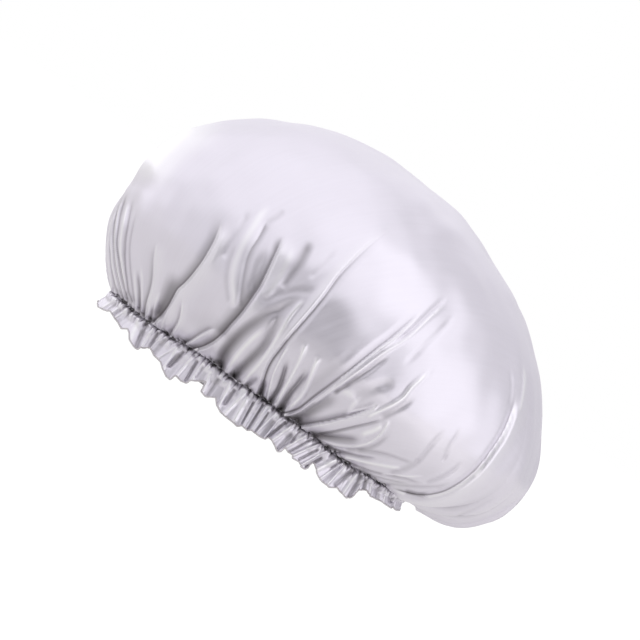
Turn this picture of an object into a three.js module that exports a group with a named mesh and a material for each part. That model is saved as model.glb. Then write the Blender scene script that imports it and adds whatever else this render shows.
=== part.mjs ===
// A satin sleep bonnet: a wide crown of thin cloth gathered on to an oval elastic, with a frill
// below the gathers. The elastic runs in a casing made by a narrow tape on the inside.
// Lengths are in millimetres. +Z is up, the forehead is towards -Y, and the frill's edge stands
// on z = 0 with the middle of the head opening at the origin.

import * as THREE from "three";

// The head opening, inside the casing, with the elastic stretched over a head of about 55 cm.
const openingLength = 196;
const openingWidth = 152;

// How far the crown's fullest part stands out past the gathered line, and how high above the
// band it lies.
const frontOverhang = 28.5;
const sideOverhang = 41;
const backOverhang = 54.5;
const frontFullHeight = 53;
const sideFullHeight = 43;
const backFullHeight = 38;
const crownHeight = 151.5;

// Cloth, elastic and casing.
const clothThickness = 0.6;
const tapeThickness = 0.4;
const elasticThickness = 1;
const elasticWidth = 4.5;
const elasticOverlap = 12;
const layGap = 0.3;
const turnedEdge = 0.6;

// Gathers, folds and frill.
const gatherPitch = 11.5;
const puckerDepth = 0.9;
const foldDepth = 5.6;
const frillDrop = 19;
const frillFlare = 4;
const pleatDepth = 3.4;

// How the crown's upper half rounds over, seen from the side: 1 is an ellipse, less is fuller.
const frontRoundShare = 0.943;
const sideRoundShare = 0.975;
const backRoundShare = 1.11;

// How its lower half swells out and climbs: a higher swell starts nearer the band's own line, so
// the forehead rises steeply, and the nape's low swell makes the lobe that droops there.
const frontSwellShare = 1.9;
const sideSwellShare = 1.75;
const backSwellShare = 0.65;
const frontClimbShare = 0.76;
const sideClimbShare = 1.2;
const backClimbShare = 1.1;

// The folds that stand out from the gathers, as shares: where round the head each one leaves the
// band, how far round it leans by the top, its half width, its height against the fold depth,
// and how far up the crown's profile it fades out.
const mainFoldShares = [
  { start: 0.05, lean: -0.02, width: 0.022, height: 0.3, fade: 0.5 },
  { start: 0.098, lean: -0.045, width: 0.022, height: 0.4, fade: 0.52 },
  { start: 0.134, lean: 0, width: 0.02, height: 0.5, fade: 0.5 },
  { start: 0.153, lean: 0.016, width: 0.022, height: 0.9, fade: 0.6 },
  { start: 0.192, lean: 0.02, width: 0.024, height: 1, fade: 0.62 },
  { start: 0.24, lean: 0.02, width: 0.024, height: 1, fade: 0.8 },
  { start: 0.279, lean: 0.028, width: 0.022, height: 1, fade: 0.66 },
  { start: 0.31, lean: 0.014, width: 0.02, height: 0.9, fade: 0.48 },
  { start: 0.345, lean: 0.03, width: 0.022, height: 0.5, fade: 0.5 },
  { start: 0.402, lean: 0.012, width: 0.026, height: 0.9, fade: 0.7 },
  { start: 0.489, lean: 0, width: 0.026, height: 0.5, fade: 0.62 },
  { start: 0.547, lean: -0.011, width: 0.026, height: 0.8, fade: 0.7 },
  { start: 0.606, lean: -0.019, width: 0.026, height: 0.9, fade: 0.64 },
  { start: 0.661, lean: -0.014, width: 0.026, height: 0.8, fade: 0.76 },
  { start: 0.717, lean: -0.008, width: 0.026, height: 1, fade: 0.74 },
  { start: 0.769, lean: 0.006, width: 0.026, height: 0.8, fade: 0.78 },
  { start: 0.825, lean: 0.011, width: 0.026, height: 0.9, fade: 0.66 },
  { start: 0.878, lean: 0, width: 0.026, height: 0.7, fade: 0.68 },
  { start: 0.936, lean: -0.003, width: 0.024, height: 0.5, fade: 0.62 },
];

// The crown's rows above the band, as shares: how far up the profile, and how much of the fine
// and the middling gathers is left there. Each row has a whole, half or quarter ring of columns.
const crownRowShares = [
  { rise: 0.15, ring: 1, fine: 0.16, middling: 0.08 },
  { rise: 0.32, ring: 1, fine: 0.1, middling: 0.16 },
  { rise: 0.5, ring: 0.5, fine: 0, middling: 0.13 },
  { rise: 0.59, ring: 0.5, fine: 0, middling: 0.08 },
  { rise: 0.68, ring: 0.5, fine: 0, middling: 0.03 },
  { rise: 0.77, ring: 0.5, fine: 0, middling: 0 },
  { rise: 0.86, ring: 0.25, fine: 0, middling: 0 },
  { rise: 0.94, ring: 0.25, fine: 0, middling: 0 },
];

// The band is as deep as the elastic, its ease and the turned edges that hold it.
const bandHeight = elasticWidth + 2 * (layGap + tapeThickness + turnedEdge);
const bandBottom = frillDrop + layGap;

// Each layer of the casing lies outside the one before: tape, elastic, then the gathered cloth.
const openingPerimeter = Math.PI * Math.hypot(openingLength, openingWidth) * Math.SQRT1_2;
const overlapShare = elasticOverlap / openingPerimeter;
const elasticOffset = tapeThickness + layGap;
const elasticGrowth = elasticThickness + layGap;
const elasticReach = elasticOffset + elasticGrowth * (1 + overlapShare) + elasticThickness;
const clothOffset = elasticReach + layGap + clothThickness / 2 + puckerDepth;

// The gathers go round in a whole number of fours, so that a quarter ring of columns fits them.
const gathers = 4 * Math.round(openingPerimeter / (4 * gatherPitch));
const crownColumns = 2 * gathers;
const frillColumns = 4 * gathers;
const elasticSteps = 96;

// A full turn starts at the forehead and goes by the wearer's left, so half a turn is the nape.
function ovalPoint(turn, offset, z) {
  const angle = 2 * Math.PI * turn;
  const halfWidth = openingWidth / 2 + offset;
  const halfLength = openingLength / 2 + offset;
  return new THREE.Vector3(halfWidth * Math.sin(angle), -halfLength * Math.cos(angle), z);
}

function ring(columns, pointAt) {
  return Array.from({ length: columns }, (_, column) => pointAt(column / columns));
}

// A wave that goes a number of times round the head.
function wave(count, turn, phaseShare = 0) {
  return Math.cos(2 * Math.PI * (count * turn + phaseShare));
}

// A value that is one thing at the forehead, another at the sides and a third at the nape.
function aroundHead(turn, front, side, back) {
  const along = wave(1, turn);
  return side + ((along > 0 ? front : back) - side) * along ** 2;
}

// Closed solid of a sheet that runs right round, given as rows of points on its middle, each with
// as many columns as the row below or half as many. A last row of one point closes the top.
function sheetSolid(rows, thickness) {
  const middle = rows.flat();
  const starts = [0];
  for (const row of rows) {
    starts.push(starts.at(-1) + row.length);
  }
  const faces = [];
  for (let r = 0; r + 1 < rows.length; r += 1) {
    faces.push(...stripFaces(starts[r], rows[r].length, starts[r + 1], rows[r + 1].length));
  }
  const normals = vertexNormals(middle, faces);
  const rims = rows.at(-1).length > 1 ? [0, rows.length - 1] : [0];
  for (const r of rims) {
    for (let i = starts[r]; i < starts[r + 1]; i += 1) {
      normals[i].setZ(0).normalize();
    }
  }
  const outer = middle.map((point, i) => point.clone().addScaledVector(normals[i], thickness / 2));
  const inner = middle.map((point, i) => point.clone().addScaledVector(normals[i], -thickness / 2));
  const solidFaces = [...faces];
  for (const [a, b, c] of faces) {
    solidFaces.push([a + middle.length, c + middle.length, b + middle.length]);
  }
  for (const r of rims) {
    solidFaces.push(...rimFaces(starts[r], rows[r].length, middle.length, r === 0));
  }
  return geometryOf([...outer, ...inner], solidFaces);
}

// The faces between a row and the row above it, seen from outside.
function stripFaces(low, lowCount, high, highCount) {
  const faces = [];
  const columnsPerStep = lowCount / highCount;
  for (let column = 0; column < lowCount; column += 1) {
    const a = low + column;
    const b = low + ((column + 1) % lowCount);
    const above = high + (Math.ceil(column / columnsPerStep) % highCount);
    const aboveNext = high + (Math.ceil((column + 1) / columnsPerStep) % highCount);
    faces.push([a, b, above]);
    if (above !== aboveNext) {
      faces.push([b, aboveNext, above]);
    }
  }
  return faces;
}

// The faces that join the outside and the inside of a sheet along one rim.
function rimFaces(start, count, toInside, isLowest) {
  const faces = [];
  for (let column = 0; column < count; column += 1) {
    const here = start + column;
    const next = start + ((column + 1) % count);
    const [a, b] = isLowest ? [next, here] : [here, next];
    faces.push([a, b, b + toInside], [a, b + toInside, a + toInside]);
  }
  return faces;
}

function vertexNormals(points, faces) {
  const normals = points.map(() => new THREE.Vector3());
  for (const face of faces) {
    const [a, b, c] = face.map((i) => points[i]);
    const normal = b.clone().sub(a).cross(c.clone().sub(a));
    face.forEach((i) => normals[i].add(normal));
  }
  return normals.map((normal) => normal.normalize());
}

function geometryOf(points, faces) {
  const geometry = new THREE.BufferGeometry();
  geometry.setFromPoints(points);
  geometry.setIndex(faces.flat());
  geometry.computeVertexNormals();
  return geometry;
}

// The crown's full shape without its folds. The rise is the share of the profile from the band,
// with its first half under the fullest part and its second half over it.
function crownPoint(turn, rise) {
  const overhang = aroundHead(turn, frontOverhang, sideOverhang, backOverhang);
  const fullHeight = aroundHead(turn, frontFullHeight, sideFullHeight, backFullHeight);
  const angle = Math.PI * rise;
  if (rise <= 0.5) {
    const swell = Math.sin(angle) ** aroundHead(turn, frontSwellShare, sideSwellShare, backSwellShare);
    const climb = aroundHead(turn, frontClimbShare, sideClimbShare, backClimbShare);
    const height = fullHeight * (1 - Math.cos(angle) ** climb);
    return ovalPoint(turn, clothOffset + overhang * swell, bandHeight + height);
  }
  const power = aroundHead(turn, frontRoundShare, sideRoundShare, backRoundShare);
  const reach = Math.sin(angle) ** power;
  const height = fullHeight + (crownHeight - fullHeight) * (-Math.cos(angle)) ** power;
  const point = ovalPoint(turn, clothOffset + overhang, bandHeight + height);
  return point.multiply(new THREE.Vector3(reach, reach, 1));
}

// How far the main folds lift the cloth: up from nothing at the band and down to nothing above.
function mainFoldHeight(turn, rise) {
  let height = 0;
  for (const fold of mainFoldShares) {
    const ridge = fold.start + (fold.lean * rise) / fold.fade;
    const aside = Math.abs(turn - ridge);
    const away = Math.min(aside, 1 - aside) / fold.width;
    if (rise < fold.fade && away < 1) {
      const lift = Math.sin(Math.PI * (rise / fold.fade) ** 1.2);
      height += fold.height * lift * (0.5 + 0.5 * Math.cos(Math.PI * away));
    }
  }
  return height;
}

function gatherHeight(turn, fineShare, middlingShare) {
  const uneven = 1 + 0.3 * wave(3, turn, 0.2) + 0.2 * wave(7, turn);
  return uneven * (fineShare * wave(gathers, turn) + middlingShare * wave(gathers / 2, turn, 0.1));
}

// A point of the crown lifted off its full shape by the gathers and folds.
function foldedPoint(turn, { rise, fine, middling }) {
  const step = 0.002;
  const point = crownPoint(turn, rise);
  const around = crownPoint(turn + step, rise).sub(point);
  const upward = crownPoint(turn, rise + step).sub(point);
  const outward = around.cross(upward).normalize();
  const height = mainFoldHeight(turn, rise) + gatherHeight(turn, fine, middling);
  return point.addScaledVector(outward, foldDepth * height);
}

// Where crown and frill meet, the cloth is drawn up in even puckers.
function gatheredLine(turn, z) {
  return ovalPoint(turn, clothOffset + puckerDepth * wave(gathers, turn), z);
}

// The gathered band, the folds that fan out of it and fade, and the smooth top, in one sheet.
function crownGeometry() {
  const rows = [0, bandHeight].map((z) => ring(crownColumns, (turn) => gatheredLine(turn, z)));
  for (const row of crownRowShares) {
    rows.push(ring(crownColumns * row.ring, (turn) => foldedPoint(turn, row)));
  }
  rows.push([crownPoint(0, 1)]);
  return sheetSolid(rows, clothThickness);
}

// The frill carries the puckers on down as pleats that open towards its edge.
function frillGeometry() {
  const rows = [1, 0.5, 0].map((dropShare) =>
    ring(frillColumns, (turn) => {
      const uneven = 1 + dropShare * (0.25 * wave(5, turn, 0.1) + 0.2 * wave(11, turn));
      const depth = puckerDepth + (pleatDepth - puckerDepth) * dropShare;
      const sway = dropShare * 0.1 * wave(9, turn, 0.3);
      const offset = clothOffset + frillFlare * dropShare + depth * uneven * wave(gathers, turn, sway);
      return ovalPoint(turn, offset, frillDrop * (1 - dropShare));
    }),
  );
  return sheetSolid(rows, clothThickness);
}

// One flat strip bent round the head and lapped over its own start at the nape.
function elasticGeometry() {
  const face = (depth) =>
    Array.from({ length: elasticSteps + 1 }, (_, step) => {
      const lap = (step / elasticSteps) * (1 + overlapShare);
      const turn = lap + (1 - overlapShare) / 2;
      const { x, y } = ovalPoint(turn, elasticOffset + elasticGrowth * lap + depth, 0);
      return new THREE.Vector2(x, y);
    });
  const outline = new THREE.Shape([...face(elasticThickness), ...face(0).reverse()]);
  return new THREE.ExtrudeGeometry(outline, { depth: elasticWidth, bevelEnabled: false });
}

// A tape sewn to the gathered cloth along both edges and standing off it in between.
function tapeGeometry() {
  const nearCloth = elasticReach - tapeThickness / 2;
  const nearHead = tapeThickness / 2;
  const lowerWall = turnedEdge + tapeThickness / 2;
  const upperWall = bandHeight - lowerWall;
  const profile = [
    [nearCloth, 0],
    [nearCloth, lowerWall],
    [nearHead, lowerWall],
    [nearHead, upperWall],
    [nearCloth, upperWall],
    [nearCloth, bandHeight],
  ];
  const rows = profile.map(([offset, z]) => ring(gathers, (turn) => ovalPoint(turn, offset, z)));
  return sheetSolid(rows, tapeThickness);
}

function piece(name, geometry, material, z) {
  const mesh = new THREE.Mesh(geometry, material);
  mesh.name = name;
  mesh.position.z = z;
  return mesh;
}

const satin = new THREE.MeshStandardMaterial({ color: 0xd9d7e0, roughness: 0.34, metalness: 0.15 });
const tapeCloth = new THREE.MeshStandardMaterial({ color: 0xcfccd6, roughness: 0.5, metalness: 0 });
const elastic = new THREE.MeshStandardMaterial({ color: 0xf0efec, roughness: 0.85, metalness: 0 });

const gatheredPieces = new THREE.Group();
gatheredPieces.position.z = bandBottom;
gatheredPieces.add(
  piece("crown", crownGeometry(), satin, 0),
  piece("casing_tape", tapeGeometry(), tapeCloth, 0),
  piece("elastic_band", elasticGeometry(), elastic, (bandHeight - elasticWidth) / 2),
);

const bonnet = new THREE.Group();
bonnet.add(piece("frill", frillGeometry(), satin, 0), gatheredPieces);

export default bonnet;
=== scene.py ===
import logging
import math
from collections.abc import Sequence
from dataclasses import dataclass, field
from enum import Enum

import bpy
import numpy as np
from mathutils import Matrix, Vector


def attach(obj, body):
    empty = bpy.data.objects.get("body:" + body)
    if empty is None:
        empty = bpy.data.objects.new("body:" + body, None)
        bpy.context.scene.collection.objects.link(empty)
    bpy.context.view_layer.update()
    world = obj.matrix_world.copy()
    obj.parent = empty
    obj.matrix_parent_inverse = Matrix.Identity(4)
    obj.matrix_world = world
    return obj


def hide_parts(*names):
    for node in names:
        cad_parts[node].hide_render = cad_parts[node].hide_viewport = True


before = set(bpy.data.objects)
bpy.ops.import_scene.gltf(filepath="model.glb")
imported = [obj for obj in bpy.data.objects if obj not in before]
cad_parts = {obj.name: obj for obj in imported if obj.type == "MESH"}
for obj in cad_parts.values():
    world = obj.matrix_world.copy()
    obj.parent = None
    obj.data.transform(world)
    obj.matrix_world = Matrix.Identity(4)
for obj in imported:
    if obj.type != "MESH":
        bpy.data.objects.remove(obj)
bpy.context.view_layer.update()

MM = 0.001
FULL_TURN = 2 * math.pi
log = logging.getLogger("hair_bonnet")

Array = np.ndarray
Pair = tuple[float, float]
Places = tuple[Pair, ...]
Material = bpy.types.Material
NodeTree = bpy.types.NodeTree
Socket = bpy.types.NodeSocket


def eased(share: Array) -> Array:
    """Smooth step from 0 to 1.

    Args:
        share: Values that run from 0 or less to 1 or more.

    Returns:
        The eased values, from 0 to 1.
    """
    held = np.clip(share, 0.0, 1.0)
    return held * held * (3.0 - 2.0 * held)


def flowing_path(stations: Array, values: Array, where: Array) -> Array:
    """Reads a smooth curve through a few stations.

    Args:
        stations: Rising places of the stations.
        values: The curve's value at each station.
        where: The places to read.

    Returns:
        The curve's values, held level past both ends.
    """
    slopes = np.gradient(values, stations)
    at = np.clip(where, stations[0], stations[-1])
    k = np.clip(np.searchsorted(stations, at) - 1, 0, len(stations) - 2)
    gap = stations[k + 1] - stations[k]
    t = (at - stations[k]) / gap
    return (
        (2 * t**3 - 3 * t**2 + 1) * values[k]
        + (t**3 - 2 * t**2 + t) * gap * slopes[k]
        + (3 * t**2 - 2 * t**3) * values[k + 1]
        + (t**3 - t**2) * gap * slopes[k + 1]
    )


def crowded_turns(count: int, crowding: float, middle: float) -> Array:
    """Places of a ring's columns, closer together on the side with the finest folds.

    Args:
        count: Number of columns.
        crowding: How much closer, from 0 to 1.
        middle: Where they are closest, as a share of a turn.

    Returns:
        Shares of a turn.
    """
    even = np.arange(count) / count
    start = math.sin(FULL_TURN * middle)
    return even - crowding / FULL_TURN * (np.sin(FULL_TURN * (even - middle)) + start)


def flat_ring(radius: float, turn: Array) -> Array:
    """Where a ring of points lies on the flat, round cloth."""
    return np.stack([radius * np.sin(FULL_TURN * turn), -radius * np.cos(FULL_TURN * turn)], -1)


def turn_gap(turn: Array, other: Array) -> Array:
    """Shortest way round from one place on the ring to another.

    Args:
        turn: Places round the head, as shares of a turn.
        other: The places to measure from.

    Returns:
        The gaps, from minus a half to a half turn.
    """
    return (turn - other + 0.5) % 1.0 - 0.5


def soft_noise(points: Array, seed: int, wave_mm: Pair, parts: int = 28) -> Array:
    """Slow, even noise in space, made from a few seeded waves.

    Args:
        points: Places in metres, with x, y and z on the last axis.
        seed: Seed of the waves.
        wave_mm: Shortest and longest wave in millimetres.
        parts: Number of waves.

    Returns:
        Noise with a spread of about 1.
    """
    rng = np.random.default_rng(seed)
    way = rng.normal(size=(parts, 3))
    way /= np.linalg.norm(way, axis=1, keepdims=True)
    length = rng.uniform(*wave_mm, size=parts) * MM
    phase = rng.uniform(0, FULL_TURN, size=parts)
    total = np.zeros(points.shape[:-1])
    for direction, size, start in zip(way, length, phase):
        total += np.cos(points @ direction * (FULL_TURN / size) + start)
    return total / math.sqrt(parts / 2)


@dataclass(frozen=True)
class PictureView:
    """Where the picture was taken from, and where a point shows in it."""

    target: tuple[float, float, float] = (0.0, 0.0048, 0.0779)
    distance: float = 1.6
    elevation: float = 1.5
    roll: float = 34.86
    field_width: float = 0.3712
    pixels: int = 640

    def axes(self) -> tuple[Array, Array, Array]:
        """Works out the camera's axes.

        Returns:
            Unit vectors to the picture's right, up the picture and towards the camera.
        """
        tilt, roll = math.radians(self.elevation), math.radians(self.roll)
        back = np.array([math.cos(tilt), 0.0, math.sin(tilt)])
        level_up = np.array([-math.sin(tilt), 0.0, math.cos(tilt)])
        level_right = np.array([0.0, 1.0, 0.0])
        right = math.cos(roll) * level_right + math.sin(roll) * level_up
        up = -math.sin(roll) * level_right + math.cos(roll) * level_up
        return right, up, back

    def place(self, points: Array) -> Array:
        """Places of points in the picture.

        Args:
            points: Points in metres.

        Returns:
            Pixels to the right and down, on the last axis.
        """
        right, up, back = self.axes()
        away = points - np.array(self.target)
        scale = self.pixels * self.distance / self.field_width / (self.distance - away @ back)
        middle = self.pixels / 2
        return np.stack([middle + scale * (away @ right), middle - scale * (away @ up)], -1)

    def along_band(self, seen: Array) -> tuple[Array, Array]:
        """Turns places in the picture to the band's slant.

        Args:
            seen: Pixels to the right and down, on the last axis.

        Returns:
            Pixels along the band and pixels up from it.
        """
        roll = math.radians(self.roll)
        right, down = seen[..., 0], seen[..., 1]
        return math.cos(roll) * right + math.sin(roll) * down, math.sin(roll) * right - math.cos(roll) * down


@dataclass
class SheetBuilder:
    """Gathers rings of points into one sheet of cloth with its flat pattern as UVs."""

    points: list[Array] = field(default_factory=list)
    pattern: list[Array] = field(default_factory=list)
    tones: list[Array] = field(default_factory=list)
    faces: list[Array] = field(default_factory=list)
    last: tuple[int, int] | None = None

    def add_row(self, points: Array, pattern: Array, tone: Array) -> None:
        """Adds the next ring and joins it to the ring before.

        Args:
            points: The ring's points, in metres.
            pattern: Where each point lies on the flat cloth.
            tone: Painted light, from 1 for full painted shade at the foot of a crease through 0 on plain cloth to -1
                for a full painted highlight on a crest.
        """
        start = sum(len(row) for row in self.points)
        count = len(points)
        if self.last:
            self.faces.append(self._strip(self.last[0], self.last[1], start, count))
        self.points.append(points)
        self.pattern.append(pattern)
        self.tones.append(tone)
        self.last = (start, count)

    def add_peak(self, point: Array, pattern: Array) -> None:
        """Closes the sheet with one point.

        Args:
            point: The peak, in metres.
            pattern: Where it lies on the flat cloth.
        """
        start, count = self.last
        peak = sum(len(row) for row in self.points)
        here = np.arange(count)
        self.faces.append(np.stack([start + here, start + (here + 1) % count, np.full(count, peak)], 1))
        self.points.append(point[None])
        self.pattern.append(pattern[None])
        self.tones.append(np.zeros(1))

    def _strip(self, low: int, low_count: int, high: int, high_count: int) -> Array:
        """Faces between two rings, the upper with as many points or half as many.

        Args:
            low: First point of the lower ring.
            low_count: Points in the lower ring.
            high: First point of the upper ring.
            high_count: Points in the upper ring.

        Returns:
            Faces as rows of point numbers; a triangle repeats its last one.
        """
        here = np.arange(high_count)
        after = (here + 1) % high_count
        if low_count == high_count:
            return np.stack([low + here, low + after, high + after, high + here], 1)
        a, b, c = low + 2 * here, low + 2 * here + 1, low + (2 * here + 2) % low_count
        return np.concatenate(
            [
                np.stack([a, b, high + here], 1),
                np.stack([b, c, high + after], 1),
                np.stack([b, high + after, high + here], 1),
            ]
        )

    def build(self, name: str) -> bpy.types.Object:
        """Makes the sheet's object.

        Args:
            name: The piece's name.

        Returns:
            The new object, linked to the scene.
        """
        points = np.concatenate(self.points)
        faces = [tuple(int(i) for i in face) for block in self.faces for face in block]
        piece = mesh_piece(name, points, faces)
        pattern = np.concatenate(self.pattern)
        corners = np.zeros(len(piece.data.loops), dtype=np.int32)
        piece.data.loops.foreach_get("vertex_index", corners)
        layer = piece.data.uv_layers.new(name="flat_pattern")
        layer.data.foreach_set("uv", pattern[corners].astype(np.float32).ravel())
        # The crease attribute carries the painted shade and painted highlights to the material.
        tone = piece.data.attributes.new("crease", "FLOAT", "POINT")
        tone.data.foreach_set("value", np.concatenate(self.tones).astype(np.float32))
        return piece


def mesh_piece(name: str, points: Array, faces: list[tuple[int, ...]]) -> bpy.types.Object:
    """Makes a smooth-shaded mesh object.

    Args:
        name: The piece's name.
        points: Its points, in metres.
        faces: Its faces as tuples of point numbers.

    Returns:
        The new object, linked to the scene.
    """
    mesh = bpy.data.meshes.new(name)
    mesh.from_pydata(points.tolist(), [], faces)
    mesh.update()
    mesh.shade_smooth()
    piece = bpy.data.objects.new(name, mesh)
    bpy.context.scene.collection.objects.link(piece)
    return piece


def dress(piece: bpy.types.Object, material: Material) -> None:
    """Gives a piece its material, and lets it ride on the one body.

    Args:
        piece: The piece.
        material: Its material.
    """
    piece.data.materials.append(material)
    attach(piece, "root")


def tube_rings(path: Array, outward: Array, radii: Pair, sides: int) -> Array:
    """Rings of an oval tube along a path.

    Args:
        path: The path's points.
        outward: A unit vector at each point, square to the path as near as may be.
        radii: Half sizes of the section along outward and across it.
        sides: Points in each ring.

    Returns:
        An array of rings of points.
    """
    along = np.gradient(path, axis=0)
    along /= np.linalg.norm(along, axis=1, keepdims=True) + 1e-12
    across = np.cross(along, outward)
    across /= np.linalg.norm(across, axis=1, keepdims=True) + 1e-12
    up = np.cross(across, along)
    angle = np.arange(sides) * FULL_TURN / sides
    return (
        path[:, None]
        + radii[0] * np.cos(angle)[None, :, None] * up[:, None]
        + radii[1] * np.sin(angle)[None, :, None] * across[:, None]
    )


def tube_faces(rings: int, sides: int, closed: bool, start: int = 0) -> list[tuple[int, ...]]:
    """Faces of a tube made by tube_rings.

    Args:
        rings: Number of rings.
        sides: Points in each ring.
        closed: Whether the last ring joins the first.
        start: Number of the first point.

    Returns:
        The faces, with flat ends where the tube is open.
    """
    faces: list[tuple[int, ...]] = []
    for r in range(rings if closed else rings - 1):
        here, there = start + r * sides, start + ((r + 1) % rings) * sides
        for k in range(sides):
            n = (k + 1) % sides
            faces.append((here + k, here + n, there + n, there + k))
    if not closed:
        faces.append(tuple(start + k for k in reversed(range(sides))))
        faces.append(tuple(start + (rings - 1) * sides + k for k in range(sides)))
    return faces


@dataclass(frozen=True)
class HeadOpening:
    """The oval opening inside the casing, with the elastic stretched to a head."""

    half_width: float = 76 * MM
    half_length: float = 98 * MM
    band_foot: float = 19.3 * MM
    band_height: float = 7.1 * MM
    cloth_offset: float = 4.53 * MM

    def place(self, turn: Array, offset: Array | float) -> tuple[Array, Array]:
        """Horizontal place on an oval round the opening.

        Args:
            turn: Shares of a turn, from the forehead by the wearer's left.
            offset: How far outside the opening.

        Returns:
            The x and y of each place.
        """
        angle = FULL_TURN * turn
        return (self.half_width + offset) * np.sin(angle), -(self.half_length + offset) * np.cos(angle)

    def points(self, turn: Array, offset: Array | float, z: Array | float) -> Array:
        """Points on an oval round the opening, from turn, offset and height."""
        x, y = self.place(turn, offset)
        return np.stack(np.broadcast_arrays(x, y, z), -1)

    def outward(self, turn: Array) -> Array:
        """Finds which way is off the opening's edge.

        Args:
            turn: Shares of a turn.

        Returns:
            Level unit vectors that point away from the opening.
        """
        angle = FULL_TURN * turn
        x, y = self.half_length * np.sin(angle), -self.half_width * np.cos(angle)
        size = np.hypot(x, y)
        return np.stack([x / size, y / size, np.zeros_like(size)], -1)


@dataclass(frozen=True)
class AroundHead:
    """A value that differs at the forehead, the sides and the nape."""

    front: float
    side: float
    back: float

    def at(self, turn: Array) -> Array:
        """The value at each place round the head."""
        along = np.cos(FULL_TURN * turn)
        return self.side + (np.where(along > 0, self.front, self.back) - self.side) * along**2


@dataclass
class Fullness:
    """The crown's filled-out shape before its folds, read by turn and by climb from band to peak.

    The columns are measured with a lower reach of their own, measured_reach, so that the climbs stay
    where they are when the lower half swells out more or less.
    """

    opening: HeadOpening
    foot: float = 23.6 * MM
    height: float = 154.2 * MM
    overhang: AroundHead = AroundHead(28.4 * MM, 41 * MM, 54.5 * MM)
    full_height: AroundHead = AroundHead(56 * MM, 46 * MM, 41 * MM)
    lower_round: AroundHead = AroundHead(0.76, 1.2, 1.1)
    lower_reach: AroundHead = AroundHead(1.9, 1.75, 0.65)
    upper_round: AroundHead = AroundHead(0.943, 0.975, 1.11)
    measured_reach: AroundHead = AroundHead(1.2, 1.2, 0.8)
    turns: int = 360
    steps: int = 400

    def __post_init__(self) -> None:
        """Measures each column, so that a climb is a share of its real length."""
        turn = np.arange(self.turns) / self.turns
        rise = np.linspace(0.0, 1.0, self.steps + 1)
        line = self.by_rise(turn[None, :], rise[:, None], self.measured_reach)
        run = np.linalg.norm(np.diff(line, axis=0), axis=-1)
        length = np.concatenate([np.zeros((1, self.turns)), np.cumsum(run, axis=0)])
        self.column_length = length[-1]
        share = length / length[-1]
        self.rise_table = np.stack([np.interp(rise, share[:, k], rise) for k in range(self.turns)], 1)

    def by_rise(self, turn: Array, rise: Array, lower_reach: AroundHead) -> Array:
        """Points from turn and rise, where half the rise is at the widest part.

        Args:
            turn: Shares of a turn.
            rise: Shares of the profile's two quarter rounds.
            lower_reach: How the lower round swells out: 2 is straight, less is rounder.

        Returns:
            Points in metres.
        """
        turn, rise = np.broadcast_arrays(turn, rise)
        overhang, full = self.overhang.at(turn), self.full_height.at(turn)
        low_power, high_power = self.lower_round.at(turn), self.upper_round.at(turn)
        sine = np.clip(np.sin(math.pi * rise), 0.0, 1.0)
        cosine = np.abs(np.cos(math.pi * rise))
        low = rise <= 0.5
        offset = self.opening.cloth_offset + overhang * np.where(low, sine ** lower_reach.at(turn), 1.0)
        reach = np.where(low, 1.0, sine**high_power)
        z = np.where(low, full * (1 - cosine**low_power), full + (self.height - full) * cosine**high_power)
        x, y = self.opening.place(turn, offset)
        return np.stack([x * reach, y * reach, self.foot + z], -1)

    def rise_at(self, turn: Array, climb: Array) -> Array:
        """Turns climbs into rises by the measured table.

        Args:
            turn: Shares of a turn.
            climb: Shares of each column's length.

        Returns:
            Shares of the profile's two quarter rounds.
        """
        turn, climb = np.broadcast_arrays(turn, climb)
        t, c = (turn % 1.0) * self.turns, np.clip(climb, 0.0, 1.0) * self.steps
        t0, c0 = np.floor(t).astype(int), np.minimum(np.floor(c).astype(int), self.steps - 1)
        ft, fc = t - t0, c - c0
        t0, t1 = t0 % self.turns, (t0 + 1) % self.turns
        table = self.rise_table
        low = table[c0, t0] * (1 - ft) + table[c0, t1] * ft
        high = table[c0 + 1, t0] * (1 - ft) + table[c0 + 1, t1] * ft
        return low * (1 - fc) + high * fc

    def at(self, turn: Array, climb: Array) -> Array:
        """Points from turn and climb."""
        return self.by_rise(turn, self.rise_at(turn, climb), self.lower_reach)

    def length_at(self, turn: Array) -> Array:
        """Length of cloth from the band to the peak at each turn."""
        table = np.append(self.column_length, self.column_length[0])
        return np.interp(turn % 1.0, np.linspace(0, 1, self.turns + 1), table)


class SteepSide(Enum):
    """The side on which a fold drops away sharply."""

    FOREHEAD = -1
    NONE = 0
    NAPE = 1


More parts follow.
